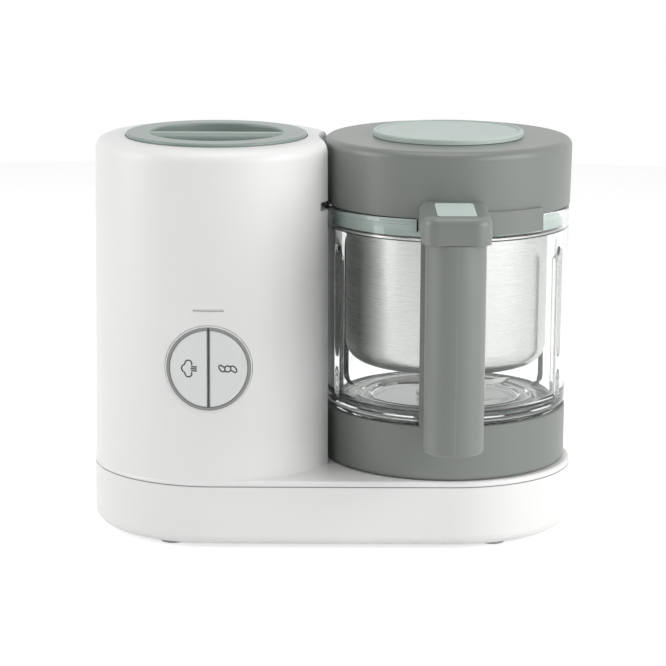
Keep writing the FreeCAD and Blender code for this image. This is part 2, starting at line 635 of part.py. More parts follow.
# Boiler with its rim under the tower top, and a heating plate under it
tank = turned("boiler_vessel", [("0", TANK), ("boiler_radius", TANK, "boiler_round"), ("boiler_radius", "%s - flange_thick" % ROOF),
                                ("boiler_flange", "%s - flange_thick" % ROOF), ("boiler_flange", ROOF),
                                ("boiler_radius - boiler_wall", ROOF),
                                ("boiler_radius - boiler_wall", "%s + boiler_wall" % TANK, "boiler_round - boiler_wall"),
                                ("0", "%s + boiler_wall" % TANK)], TOWER)
outlet = cyl("boiler_outlet", "nozzle_bore", "10", "%s + boiler_radius - 6" % TOWER, "0", "nozzle_level", "x")
piece(cut("boiler_tank", tank, [outlet]), "boiler_tank")
heater = turned("heating_plate", [("12", "%s - heater_thick" % TANK), ("heater_radius", "%s - heater_thick" % TANK, "3"),
                                  ("heater_radius", TANK), ("12", TANK)], TOWER)
piece(heater, "heating_plate")
nozzle_length = "%s - %s" % (NOZZLE_END, NOZZLE_START)
nozzle = cut("steam_nozzle", cyl("nozzle_tube", "nozzle_radius", nozzle_length, NOZZLE_START, "0", "nozzle_level", "x"),
             [cyl("nozzle_way", "nozzle_bore", "40", "%s - 10" % NOZZLE_START, "0", "nozzle_level", "x")])
piece(nozzle, "steam_nozzle")

# Boiler cap: rim, plug, grip well and a bar across it; the gasket lies under the rim
WELL = "(%s - cap_well_depth)" % CAP_TOP
cap_body = turned("cap_body", [("0", "%s - 3" % WELL), ("cap_plug", "%s - 3" % WELL, "2"), ("cap_plug", CAP),
                               ("cap_radius", CAP), ("cap_radius", CAP_TOP, "0.9"), ("cap_well", CAP_TOP, "0.9"),
                               ("cap_well", WELL, "3"), ("0", WELL)], TOWER)
cap_grip = padded("cap_grip", [("-cap_well - 1", "-cap_bar / 2"), ("cap_well + 1", "-cap_bar / 2"),
                               ("cap_well + 1", "cap_bar / 2"), ("-cap_well - 1", "cap_bar / 2")],
                  "%s - 1" % WELL, "cap_well_depth + 0.6", TOWER)
grip_soft = rounded("cap_grip_soft", cap_grip,
                    lambda e: e.BoundBox.XLength > 40 and e.BoundBox.ZMin > val(WELL), "4")
piece(fuse("boiler_cap", [cap_body, grip_soft]), "boiler_cap")
piece(turned("cap_gasket", [("boiler_radius - boiler_wall + 0.5", GASKET), ("cap_radius - 0.9", GASKET),
                            ("cap_radius - 0.9", "%s + gasket_thick" % GASKET),
                            ("boiler_radius - boiler_wall + 0.5", "%s + gasket_thick" % GASKET)], TOWER), "cap_gasket")

# Motor on the deck under the tower, shaft down through the deck
MOTOR_TOP = "(%s + motor_height)" % DECK
BORE = "motor_shaft + run_gap"
piece(turned("motor_case", [(BORE, DECK), ("motor_radius", DECK), ("motor_radius", MOTOR_TOP, "4"), (BORE, MOTOR_TOP),
                            (BORE, "%s - 4" % MOTOR_TOP), ("stator_radius", "%s - 4" % MOTOR_TOP),
                            ("stator_radius", "%s + 4" % DECK), (BORE, "%s + 4" % DECK)], TOWER), "motor_case")
piece(turned("motor_rotor", [("0", "pulley_level - 2"), ("motor_shaft", "pulley_level - 2"),
                             ("motor_shaft", "%s + 5" % DECK), ("stator_radius - 0.6", "%s + 5" % DECK),
                             ("stator_radius - 0.6", "%s - 5" % MOTOR_TOP), ("motor_shaft", "%s - 5" % MOTOR_TOP),
                             ("motor_shaft", "%s - 0.5" % MOTOR_TOP), ("0", "%s - 0.5" % MOTOR_TOP)], TOWER), "motor_rotor")


def pulley(name, bore, groove, hub, x):
    top = "(pulley_level + pulley_width)"
    return turned(name, [(bore, hub), (bore, top), ("%s + pulley_flange" % groove, top),
                         ("%s + pulley_flange" % groove, "%s - flange_width" % top), (groove, "%s - flange_width" % top),
                         (groove, "pulley_level + flange_width"),
                         ("%s + pulley_flange" % groove, "pulley_level + flange_width"),
                         ("%s + pulley_flange" % groove, "pulley_level"), ("%s + 4" % bore, "pulley_level"),
                         ("%s + 4" % bore, hub)], x)


piece(pulley("motor_pulley", "(motor_shaft + 0.02)", "motor_pulley_radius", "pulley_level - 1.5", TOWER), "motor_pulley")
piece(pulley("spindle_pulley", "(spindle_radius + 0.02)", "spindle_pulley_radius",
             "%s + bearing_height + fit_gap" % FLOOR, JUG), "spindle_pulley")


def belt_loop(sk, small, large):
    """Two arcs and two tangent lines round the two pulley axes."""
    x1, x2, r1, r2 = val(TOWER), val(JUG), val(small), val(large)
    t = math.acos((r1 - r2) / (x2 - x1))
    c, s = math.cos(t), math.sin(t)
    up = FreeCAD.Vector(0, 0, 1)
    left = sk.addGeometry(Part.ArcOfCircle(Part.Circle(FreeCAD.Vector(x1, 0, 0), up, r1), t, 2 * math.pi - t), False)
    right = sk.addGeometry(Part.ArcOfCircle(Part.Circle(FreeCAD.Vector(x2, 0, 0), up, r2), -t, t), False)
    low = sk.addGeometry(Part.LineSegment(FreeCAD.Vector(x1 + r1 * c, -r1 * s, 0),
                                          FreeCAD.Vector(x2 + r2 * c, -r2 * s, 0)), False)
    high = sk.addGeometry(Part.LineSegment(FreeCAD.Vector(x2 + r2 * c, r2 * s, 0),
                                           FreeCAD.Vector(x1 + r1 * c, r1 * s, 0)), False)
    pin_point(sk, left, 3, TOWER, "0")
    pin_point(sk, right, 3, JUG, "0")
    for geo, text in ((left, small), (right, large)):
        i = sk.addConstraint(Sketcher.Constraint("Radius", geo, val(text)))
        sk.setExpression("Constraints[%d]" % i, bound(text))
    sk.addConstraint(Sketcher.Constraint("Tangent", left, 2, low, 1))
    sk.addConstraint(Sketcher.Constraint("Tangent", low, 2, right, 1))
    sk.addConstraint(Sketcher.Constraint("Tangent", right, 2, high, 1))
    sk.addConstraint(Sketcher.Constraint("Tangent", high, 2, left, 1))


# Drive belt round the two pulleys
belt = doc.addObject("PartDesign::Body", "drive_belt")
belt_sketch = sketch_on(belt, "belt_outline", "XY_Plane", "pulley_level + flange_width + fit_gap")
belt_loop(belt_sketch, "motor_pulley_radius + belt_gap + belt_thick", "spindle_pulley_radius + belt_gap + belt_thick")
belt_loop(belt_sketch, "motor_pulley_radius + belt_gap", "spindle_pulley_radius + belt_gap")
belt_pad = belt.newObject("PartDesign::Pad", "belt_pad")
belt_pad.Profile = belt_sketch
bind(belt_pad, "Length", "pulley_width - 2 * flange_width - 2 * fit_gap")
belt.Tip = belt_pad
piece(belt, "drive_belt")

# Drive spindle in two plain bearings, with the drive dog on top of the deck
DOG = "(%s + 0.8)" % DECK
DOG_TOP = "(%s + dog_height)" % DOG
piece(turned("lower_bearing", [("spindle_radius + run_gap", FLOOR), ("bearing_radius", FLOOR),
                               ("bearing_radius", "%s + bearing_height" % FLOOR),
                               ("spindle_radius + run_gap", "%s + bearing_height" % FLOOR)], JUG), "lower_bearing")
UPPER = "(%s - 1)" % PART
piece(turned("upper_bearing_bush", [("spindle_radius + run_gap", "%s - upper_bearing" % UPPER),
                                    ("bearing_radius", "%s - upper_bearing" % UPPER), ("bearing_radius", UPPER),
                                    ("spindle_radius + run_gap", UPPER)], JUG), "upper_bearing")
piece(turned("drive_spindle", [("0", "%s + 0.5" % FLOOR), ("spindle_radius", "%s + 0.5" % FLOOR),
                               ("spindle_radius", "%s - 1" % DOG_TOP), ("0", "%s - 1" % DOG_TOP)], JUG), "drive_spindle")
dog = turned("drive_dog", [("spindle_radius + 0.02", DOG), ("dog_core", DOG), ("dog_core", DOG_TOP, "1"),
                           ("spindle_radius + 0.02", DOG_TOP)], JUG)
dog_sk, dog_pad = add_pad(dog, "dog_wing", [("dog_core - 0.6", "-dog_width / 2"), ("dog_radius", "-dog_width / 2"),
                                            ("dog_radius", "dog_width / 2"), ("dog_core - 0.6", "dog_width / 2")],
                          DOG, "dog_height - 1.5")
around(dog, "dog_wings", dog_pad, dog_sk, 2)
piece(dog, "drive_dog")

# Driven dog under the jug: a cup with two inner ribs a quarter turn from the wings
CUP = "(%s + 2)" % COLLAR_LOW
CUP_ROOF = "(%s + 1)" % DOG_TOP
CUP_TOP = "(%s + 4)" % CUP_ROOF
cup = turned("driven_dog", [("spindle_radius + 0.02", CUP_ROOF), ("dog_radius + 0.7", CUP_ROOF), ("dog_radius + 0.7", CUP),
                            ("cup_radius", CUP), ("cup_radius", CUP_TOP, "1.5"), ("spindle_radius + 0.02", CUP_TOP)], JUG)
RIB_TURN = "70"
cup_sk, cup_pad = add_pad(cup, "cup_rib", [("dog_core + 0.6", "-dog_width / 2"), ("dog_radius + 1.5", "-dog_width / 2"),
                                           ("dog_radius + 1.5", "dog_width / 2"), ("dog_core + 0.6", "dog_width / 2")],
                          CUP, "%s - %s + 0.5" % (CUP_ROOF, CUP))
around(cup, "cup_ribs", cup_pad, cup_sk, 2)
cup.Placement = FreeCAD.Placement(FreeCAD.Vector(), FreeCAD.Rotation(FreeCAD.Vector(0, 0, 1), 70))
place(cup, JUG)
piece(cup, "driven_dog")

# Blade bearing through the glass floor, blade shaft, two blades on a hub, and the nut
piece(turned("blade_bearing", [("spindle_radius + run_gap", "%s + 3" % CUP_TOP), ("seat_flange", "%s + 3" % CUP_TOP),
                               ("seat_flange", "%s - fit_gap" % GLASS), ("spindle_seat", "%s - fit_gap" % GLASS),
                               ("spindle_seat", "%s + fit_gap" % BOWL), ("seat_flange", "%s + fit_gap" % BOWL),
                               ("seat_flange", "%s + 3" % BOWL, "1.5"), ("spindle_radius + run_gap", "%s + 3" % BOWL)],
             JUG), "blade_bearing")
HUB = "(%s + 3.6)" % BOWL
HUB_TOP = "(%s + hub_height)" % HUB
NUT_TOP = "(%s + 4)" % HUB_TOP
piece(turned("blade_shaft", [("0", "%s + 0.4" % CUP_ROOF), ("spindle_radius", "%s + 0.4" % CUP_ROOF),
                             ("spindle_radius", "%s - 0.6" % NUT_TOP), ("0", "%s - 0.6" % NUT_TOP)], JUG), "blade_shaft")
hub = turned("blade_hub", [("spindle_radius + 0.02", HUB), ("hub_radius", HUB), ("hub_radius", HUB_TOP, "1"),
                           ("spindle_radius + 0.02", HUB_TOP)], JUG)
ARM = [("hub_radius * 0.69", "-blade_width * 0.59"), ("blade_reach * 0.45", "-blade_width"),
       ("blade_reach * 0.8", "-blade_width * 0.76"), ("blade_reach", "blade_width * 0.06"),
       ("blade_reach * 0.9", "blade_width * 0.18"), ("blade_reach * 0.7", "-blade_width * 0.06"),
       ("blade_reach * 0.4", "blade_width * 0.18"), ("hub_radius * 0.69", "blade_width * 0.59")]
blade_sum = [hub]
for name, level, turn, lean in (("blade_low", "hub_height * 0.18", 20, 7), ("blade_high", "hub_height * 0.47", 200, -9)):
    arm = padded(name, ARM, "0", "blade_thick")
    spin = FreeCAD.Rotation(FreeCAD.Vector(0, 0, 1), turn)
    tilt = FreeCAD.Rotation(FreeCAD.Vector(1, 0, 0), lean)
    arm.Placement = FreeCAD.Placement(FreeCAD.Vector(), spin.multiply(tilt))
    place(arm, JUG, "0", "%s + %s" % (HUB, level))
    blade_sum.append(arm)
blade_block = fuse("blade_block", blade_sum)
piece(cut("blade", blade_block, [cyl("blade_bore", "spindle_radius + 0.02", "3 * hub_height", JUG, "0",
                                     "%s - hub_height" % HUB)]), "blade")
nut = doc.addObject("PartDesign::Body", "blade_nut")
nut_side = "6.5"
hexagon = [("%s * %.6f" % (nut_side, math.cos(math.radians(60 * i))), "%s * %.6f" % (nut_side, math.sin(math.radians(60 * i))))
           for i in range(6)]
add_pad(nut, "nut", hexagon, HUB_TOP, "4")
place(nut, JUG)
piece(cut("blade_nut_piece", nut, [cyl("nut_bore", "spindle_radius + 0.02", "10", JUG, "0", "%s - 2" % HUB_TOP)]), "blade_nut")

# Glass bowl with ribs inside and a lug along part of its rim
glass = turned("glass_bowl", [("spindle_seat + fit_gap", GLASS), ("collar_radius - collar_wall - fit_gap", GLASS, "2"),
                              ("collar_radius - collar_wall - fit_gap", SHOULDER), ("glass_low_radius", SHOULDER),
                              ("glass_radius", RIM, "1"), ("glass_mouth", RIM, "1"), ("glass_mouth", HANG),
                              ("glass_inner", HANG), ("glass_inner", BOWL, "7"), ("spindle_seat + fit_gap", BOWL)], JUG)
add_turn(glass, "rim_lug", [("-lug_radius", "%s - lug_height" % RIM), ("-glass_mouth - 1.5", "%s - lug_height" % RIM),
                            ("-glass_mouth - 1.5", RIM), ("-lug_radius", RIM)], "lug_angle")
lug_end = add_turn(glass, "lug_end", [("-lug_radius", "%s - lug_drop" % RIM), ("-glass_mouth - 1.5", "%s - lug_drop" % RIM),
                                      ("-glass_mouth - 1.5", RIM), ("-lug_radius", RIM)], "lug_end")
lug_end_sketch = lug_end.Profile[0]
lug_end_sketch.AttachmentOffset = FreeCAD.Placement(FreeCAD.Vector(), FreeCAD.Rotation(FreeCAD.Vector(0, 1, 0), val("lug_angle - lug_end")))
lug_end_sketch.setExpression("AttachmentOffset.Rotation.Angle", bound("lug_angle - lug_end"))
rib_sk, rib_pad = add_pad(glass, "glass_rib", [("glass_inner - rib_depth", "-rib_width / 2"), ("glass_inner + 1", "-rib_width / 2"),
                                               ("glass_inner + 1", "rib_width / 2"), ("glass_inner - rib_depth", "rib_width / 2")],
                          "%s - 1" % BOWL, "rib_height + 1")
around(glass, "glass_ribs", rib_pad, rib_sk, 8)
piece(glass, "glass_bowl")

# Jug collar with a ledge, and the seal between the ledge and the glass
piece(turned("jug_collar", [("collar_radius - collar_skirt", COLLAR_LOW), ("collar_radius", COLLAR_LOW, "2.5"),
                            ("collar_radius", COLLAR_TOP, "1"), ("collar_radius - collar_wall", COLLAR_TOP),
                            ("collar_radius - collar_wall", LEDGE_TOP), ("ledge_inner", LEDGE_TOP), ("ledge_inner", LEDGE),
                            ("collar_radius - collar_skirt", LEDGE)], JUG), "jug_collar")
piece(turned("bowl_seal", [("ledge_inner + 1.5", SEAL), ("collar_radius - collar_wall - 0.8", SEAL),
                           ("collar_radius - collar_wall - 0.8", SEAL_TOP), ("ledge_inner + 1.5", SEAL_TOP)], JUG), "bowl_seal")

# Jug handle: spine along the glass, round fronted grip and two bridges
SPINE_IN = "(glass_radius + fit_gap)"
HANDLE_H = "(handle_high - handle_low)"
spine_block = box("spine_block", "spine_width", "handle_reach", "%s" % HANDLE_H, "%s - spine_width / 2" % JUG,
                  "-handle_reach", "handle_low")
spine_slab = rounded("spine_slab", spine_block, lambda e: e.BoundBox.YLength > 20 and e.BoundBox.ZMax < val("handle_low") + 1,
                     "spine_round")
spine_tube = cyl("spine_tube", "%s + spine_thick" % SPINE_IN, HANDLE_H, JUG, "0", "handle_low")
spine = common("handle_spine", [spine_slab, spine_tube])
W = "handle_width / 2"
grip = padded("handle_grip", [("-(%s)" % W, "-handle_reach", "(handle_width - grip_flat) / 2"), (W, "-handle_reach", "(handle_width - grip_flat) / 2"),
                              (W, "-handle_reach + grip_depth", "5"), ("-(%s)" % W, "-handle_reach + grip_depth", "5")],
              "handle_low", HANDLE_H, JUG)
grip_soft = rounded("handle_grip_soft", grip, at_level(val("handle_low")), "grip_edge")
BRIDGE_Y = "(-handle_reach + grip_depth / 2)"
bridge_len = "handle_reach - grip_depth / 2 - glass_radius + 4"
bridge_top = box("bridge_top", "handle_width - 3", bridge_len, "bridge_high", "%s - (handle_width - 3) / 2" % JUG, BRIDGE_Y,
                 "handle_high - bridge_high")
bridge_foot = box("bridge_foot", "handle_width - 9", bridge_len, "bridge_low", "%s - (handle_width - 9) / 2" % JUG, BRIDGE_Y,
                  "handle_low + 5")
handle_sum = fuse("handle_sum", [spine, grip_soft, bridge_top, bridge_foot])
handle_room = cyl("handle_room", SPINE_IN, "%s + 4" % HANDLE_H, JUG, "0", "handle_low - 2")
piece(cut("jug_handle", handle_sum, [handle_room]), "jug_handle")

# Steam basket hung on the ledge of the glass, with rings of holes in its bottom
BASKET = "(%s + fit_gap)" % HANG
BASKET_LOW = "(%s - basket_depth)" % BASKET
basket = turned("steam_basket", [("0", BASKET_LOW), ("basket_radius", BASKET_LOW, "basket_round"), ("basket_radius", BASKET),
                                 ("basket_rim", BASKET), ("basket_rim", "%s + 1.2" % BASKET),
                                 ("basket_radius - basket_wall", "%s + 1.2" % BASKET),
                                 ("basket_radius - basket_wall", "%s + basket_wall" % BASKET_LOW, "basket_round - basket_wall"),
                                 ("0", "%s + basket_wall" % BASKET_LOW)], JUG)
for i, (share, count) in enumerate(((0.2, 6), (0.42, 12), (0.64, 18))):
    hole_sk = sketch_on(basket, "basket_holes_%d" % i, "XY_Plane", "%s + 2 * basket_wall" % BASKET_LOW)
    ring_r = "(basket_radius * %.2f)" % share
    geo = hole_sk.addGeometry(Part.Circle(FreeCAD.Vector(val(ring_r), 0, 0), FreeCAD.Vector(0, 0, 1), val("basket_hole")), False)
    pin_point(hole_sk, geo, 3, ring_r, "0")
    k = hole_sk.addConstraint(Sketcher.Constraint("Radius", geo, val("basket_hole")))
    hole_sk.setExpression("Constraints[%d]" % k, bound("basket_hole"))
    pocket = basket.newObject("PartDesign::Pocket", "basket_pocket_%d" % i)
    pocket.Profile = hole_sk
    bind(pocket, "Length", "4 * basket_wall")
    basket.Tip = pocket
    doc.recompute()
    around(basket, "basket_ring_%d" % i, pocket, hole_sk, count)
piece(basket, "steam_basket")

# Lid seal round the inner skirt
piece(turned("lid_seal", [("skirt_radius + fit_gap", "%s - skirt_drop + 0.8" % LID), ("glass_mouth - 0.4", "%s - skirt_drop + 0.8" % LID),
                          ("glass_mouth - 0.4", "%s - 1" % LID), ("skirt_radius + fit_gap", "%s - 1" % LID)], JUG), "lid_seal")

# Lid: domed shell, inner skirt, steam way, band and latch block over the handle
lid_shell = turned("lid_shell", [("lid_low_radius - lid_wall", LID), ("lid_low_radius", LID), ("lid_radius", LID_TOP, "lid_round"),
                                 ("lid_hole", LID_TOP), ("lid_hole", "%s - lid_wall" % LID_TOP),
                                 ("skirt_radius - lid_wall", "%s - lid_wall" % LID_TOP),
                                 ("skirt_radius - lid_wall", "%s - skirt_drop" % LID), ("skirt_radius", "%s - skirt_drop" % LID),
                                 ("skirt_radius", "%s - lid_wall" % LID_TOP), ("lid_radius - lid_wall", "%s - lid_wall" % LID_TOP, "3")],
                   JUG)
band = doc.addObject("PartDesign::Body", "lid_band")
add_turn(band, "band", [("glass_radius + 2 * fit_gap", "%s - band_drop" % LID), ("band_radius", "%s - band_drop" % LID),
                        ("band_radius", "%s + band_rise" % LID), ("lid_low_radius - 1", "%s + band_rise" % LID),
                        ("lid_low_radius - 1", LID), ("glass_radius + 2 * fit_gap", LID)], "band_angle")
band_start = math.degrees(math.asin(val("spine_width / 2 / (glass_radius + fit_gap)"))) + val("band_clear") - 90
band.Placement = FreeCAD.Placement(FreeCAD.Vector(), FreeCAD.Rotation(FreeCAD.Vector(0, 0, 1), band_start))
place(band, JUG)
LW = "latch_width / 2"
latch = padded("latch_block", [("-(%s)" % LW, "-handle_reach + 0.5", "latch_round"), (LW, "-handle_reach + 0.5", "latch_round"),
                               (LW, "-glass_inner"), ("-(%s)" % LW, "-glass_inner")], LATCH, "latch_height", JUG)
latch_soft = rounded("latch_soft", latch, at_level(val(LATCH_TOP)), "latch_edge")
latch_cut = cut("latch_cut", latch_soft, [
    cyl("latch_low_room", "glass_radius + 2 * fit_gap", "%s - %s + 1" % (LID, LATCH), JUG, "0", "%s - 1" % LATCH),
    cyl("latch_high_room", "lid_low_radius - 1", "2 * latch_height", JUG, "0", "%s - 1" % LATCH),
    box("key_pocket", "key_width + 2 * fit_gap", "key_length + 2 * fit_gap", "2 * key_thick",
        "%s - key_width / 2 - fit_gap" % JUG, "-key_back - key_length - fit_gap", "%s - key_thick - key_travel - 0.5" % LATCH_TOP),
])
duct = cyl("steam_duct", "nozzle_radius + 1.5", "lid_low_radius - skirt_radius + 1.5", "%s - lid_low_radius - 0.1" % JUG, "0",
           "nozzle_level", "x")
lid_sum = fuse("lid_sum", [lid_shell, band, latch_cut, duct])
duct_way = cyl("duct_way", "nozzle_radius", "lid_low_radius - skirt_radius + 10", "%s - lid_low_radius - 3" % JUG, "0",
               "nozzle_level", "x")
piece(cut("lid", lid_sum, [duct_way]), "lid")

# Release key in the latch block
key = padded("release_key", [("-key_width / 2", "-key_back - key_length", "2.5"), ("key_width / 2", "-key_back - key_length", "2.5"),
                             ("key_width / 2", "-key_back", "2.5"), ("-key_width / 2", "-key_back", "2.5")],
             "%s - key_thick" % LATCH_TOP, "key_thick", JUG)
piece(key, "release_key")

# Lid stopper
STOP = "(%s + fit_gap)" % LID_TOP
piece(turned("lid_stopper", [("0", "%s - 3" % STOP), ("stopper_plug - 3", "%s - 3" % STOP), ("stopper_plug - 3", "%s - stopper_depth" % STOP),
                             ("stopper_plug", "%s - stopper_depth" % STOP), ("stopper_plug", STOP), ("stopper_radius", STOP),
                             ("stopper_radius", "%s + stopper_thick" % STOP, "1"),
                             ("stopper_radius - stopper_lip", "%s + stopper_thick" % STOP),
                             ("stopper_radius - stopper_lip", "%s + stopper_thick - stopper_dish" % STOP),
                             ("0", "%s + stopper_thick - stopper_dish" % STOP)], JUG),
      "lid_stopper")

doc.recompute()
faults = []
for obj in doc.Objects:
    if "Invalid" in obj.State or "Error" in obj.State:
        faults.append("%s: %s" % (obj.Label, ", ".join(obj.State)))
for name, obj in PIECES:
    if obj.Shape.isNull() or not obj.Shape.isValid() or not obj.Shape.Solids:
        faults.append("%s: no valid solid" % name)
if faults:
    raise RuntimeError("; ".join(faults))
for name, obj in PIECES:
    obj.Shape.exportStep("parts/%s.step" % name)
whole = FreeCAD.BoundBox()
for name, obj in PIECES:
    whole.add(obj.Shape.BoundBox)
print("pieces", len(PIECES), "box", [round(v, 2) for v in (whole.XMin, whole.XMax, whole.YMin, whole.YMax, whole.ZMin, whole.ZMax)])
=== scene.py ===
"""Baby food maker: finishes, jug glass, printed button marks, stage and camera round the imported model."""

import math

import bmesh
import bpy
from bpy.props import FloatProperty, FloatVectorProperty, PointerProperty
from bpy.types import Operator, Panel, PropertyGroup
from mathutils import Matrix, Vector


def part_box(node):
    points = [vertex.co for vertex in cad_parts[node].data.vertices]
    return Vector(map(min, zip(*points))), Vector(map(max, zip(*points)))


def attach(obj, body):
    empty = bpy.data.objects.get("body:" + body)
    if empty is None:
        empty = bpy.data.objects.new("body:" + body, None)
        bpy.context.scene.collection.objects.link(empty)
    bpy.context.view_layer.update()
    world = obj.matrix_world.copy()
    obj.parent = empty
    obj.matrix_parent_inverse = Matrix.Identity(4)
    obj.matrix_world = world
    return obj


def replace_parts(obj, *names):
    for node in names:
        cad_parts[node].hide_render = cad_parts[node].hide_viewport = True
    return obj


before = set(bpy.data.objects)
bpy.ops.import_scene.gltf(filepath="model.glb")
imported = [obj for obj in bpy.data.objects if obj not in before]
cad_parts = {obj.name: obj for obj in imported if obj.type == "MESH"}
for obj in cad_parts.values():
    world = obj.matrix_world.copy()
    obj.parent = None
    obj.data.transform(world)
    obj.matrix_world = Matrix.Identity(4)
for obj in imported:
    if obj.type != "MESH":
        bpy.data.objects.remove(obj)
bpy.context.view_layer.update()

bl_info = {
    "name": "Baby food maker",
    "version": (1, 0, 0),
    "blender": (4, 5, 0),
    "location": "3D View > Sidebar > Food Maker",
    "description": "Dresses the packed baby food maker and sets it on a pale studio floor",
    "category": "Object",
}


def centre_of(node):
    """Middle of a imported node's box."""
    low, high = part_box(node)
    return (low + high) / 2


# Fixed places of the object, read from the frame
TOWER_AXIS = centre_of("boiler_tank")
TOWER_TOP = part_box("main_housing")[1].z
JUG_AXIS = centre_of("jug_collar")
HANDLE_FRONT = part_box("jug_handle")[0].y
RING_CENTRE = centre_of("button_ring")
LAMP_CENTRE = centre_of("lamp_window")
SHUT_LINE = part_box("base_tray")[1].z

# One millimetre in metres
MM = 0.001

# Skin of the tower in metres: its radius at the foot and at the top, and the height of the foot
TOWER_FOOT_RADIUS = 0.0716
TOWER_TOP_RADIUS = 0.0699
TOWER_FOOT_HEIGHT = 0.0374

# Printed marks in metres: the button face stands out from the tower skin, the print sinks into it
BUTTON_PROUD = 0.0005
MARK_SUNK = 0.00005

# Painted parts of the button ring in metres from its centre
RING_EDGE = 0.0240
BAR_HALF_WIDTH = 0.0012
BAR_REACH = 0.0214
BAR_LINE_HALF_WIDTH = 0.00052
BAR_LINE_LOW = -0.0222
BAR_LINE_HIGH = 0.0238

# Painted lines in metres: the lamp's line, the painted shadow along the shut line, and the mould seam
LAMP_LINE = LAMP_CENTRE.z - 0.0001
LAMP_LINE_HALF_WIDTH = 0.00034
SHUT_SHADOW_HALF_WIDTH = 0.00032
SEAM_DEPTH = 0.012

# Stretch of the brushing noise: fine lines round an upright piece, or across a flat one
UPRIGHT_BRUSH = (26.0, 26.0, 5200.0)
FLAT_BRUSH = (420.0, 5200.0, 420.0)

# Section of the jug glass in millimetres: heights
GLASS_LOW = 67.4
GLASS_SHOULDER = 72.7
GLASS_FLOOR = 76.0
GLASS_LEDGE = 178.0
GLASS_RIM = 191.2

# Section of the jug glass in millimetres: radii
GLASS_SEAT = 12.3
GLASS_UNDERSIDE = 40.0
GLASS_FOOT = 65.0
GLASS_WALL_LOW = 70.3
GLASS_WALL_TOP = 70.8
GLASS_INSIDE = 64.8
GLASS_MOUTH = 66.8

# Section of the jug glass in millimetres: rounded and bevelled edges, and the step either side of an edge
FOOT_ROUND = 2.0
SHOULDER_ROUND = 4.5
LIP_ROUND = 1.0
FLOOR_ROUND = 8.0
MOUTH_BEVEL = 0.4
LEDGE_BEVEL = 0.5
EDGE_STEP = 0.05

# Round ridges on the glass floor in millimetres: radius and half width
FLOOR_RIDGES = ((50.5, 2.2), (43.5, 1.6))

# Angles in degrees about the jug axis, from +X towards +Y; the front is at 270
GLASS_RIBS = (202.0, 338.0, 22.0, 158.0)
LUG_START = 180.0
LUG_END = 254.0
LUG_STOP = LUG_END - 3

# Rim lug in millimetres: its radius, its depth below the rim and the depth of the stop at its end
LUG_RADIUS = 73.5
LUG_DEPTH = 3.2
LUG_STOP_DEPTH = 7.0
LIP_OUTER_HALF = 69.0

# Ribs inside the glass in millimetres: half width, height where they end, and where they fade into the floor
RIB_HALF_WIDTH = 4.4
RIB_TOP = 166.0
RIB_TOP_FADE = 5.0
RIB_FLOOR_END = 52.0
RIB_FLOOR_FADE = 8.0

# Rows of points on the glass: how many, and between which heights or radii in millimetres
OUTER_ROWS = 14
OUTER_START = GLASS_SHOULDER + 8
OUTER_END = GLASS_RIM - LUG_STOP_DEPTH - EDGE_STEP
INNER_ROWS = 30
INNER_START = GLASS_LEDGE - 8
INNER_END = GLASS_FLOOR + 9
FLOOR_ROWS = 44
FLOOR_START = GLASS_INSIDE - 8.5
FLOOR_END = GLASS_SEAT + 4

# Sections of the glass in degrees: the plain step, and finer steps at each rib and at the lug's ends
SECTION_STEP = 2
RIB_STEP = 0.4
RIB_STEPS = range(-11, 12)
LUG_STEP = 0.35
LUG_STEPS = range(-2, 3)

# Creases of the glass sharper than this stay sharp, in degrees
GLASS_CREASE = 38

# Stage in metres: floor disc, and the point that the lights are aimed at
FLOOR_RADIUS = 1.5
FLOOR_SEGMENTS = 96
LIGHT_TARGET = (0.0, 0.0, 0.12)

# Soft lights: name, the setting with its power, place and size
SOFT_LIGHTS = (
    ("right_soft_light", "key", (1.36, -0.58, 0.65), (0.9, 1.2)),
    ("front_soft_light", "front", (0.95, -1.15, 0.50), (0.6, 0.8)),
    ("left_soft_light", "side", (-1.45, -0.25, 0.55), (0.9, 1.2)),
    ("top_soft_light", "top", (0.0, -0.15, 1.45), (1.0, 0.8)),
)

# Backdrop in mirrors: how fast the room turns white from front to back, and its level at the sides
BACKDROP_SLOPE = 2.5
BACKDROP_SIDE = 0.5
BACKGROUND_RAYS = ("Is Camera Ray", "Is Glossy Ray", "Is Transmission Ray")

# Camera: place in metres, downward, sideways and rolling turn in degrees, sensor width in millimetres
CAMERA_PLACE = (-0.01073, -1.5808, 0.44966)
CAMERA_PITCH = 11.86
CAMERA_YAW = 0.38
CAMERA_ROLL = -0.30
CAMERA_SENSOR = 36.0
CAMERA_NEAR = 0.05
CAMERA_FAR = 40.0


def colour(name, about, value):
    """A colour setting."""
    return FloatVectorProperty(
        name=name, description=about, default=value, size=3, min=0, max=1, subtype="COLOR"
    )


def length(name, about, value):
    """A length setting in metres."""
    return FloatProperty(name=name, description=about, default=value, min=0, unit="LENGTH", precision=5)


def share(name, about, value):
    """A plain number setting."""
    return FloatProperty(name=name, description=about, default=value, min=0)


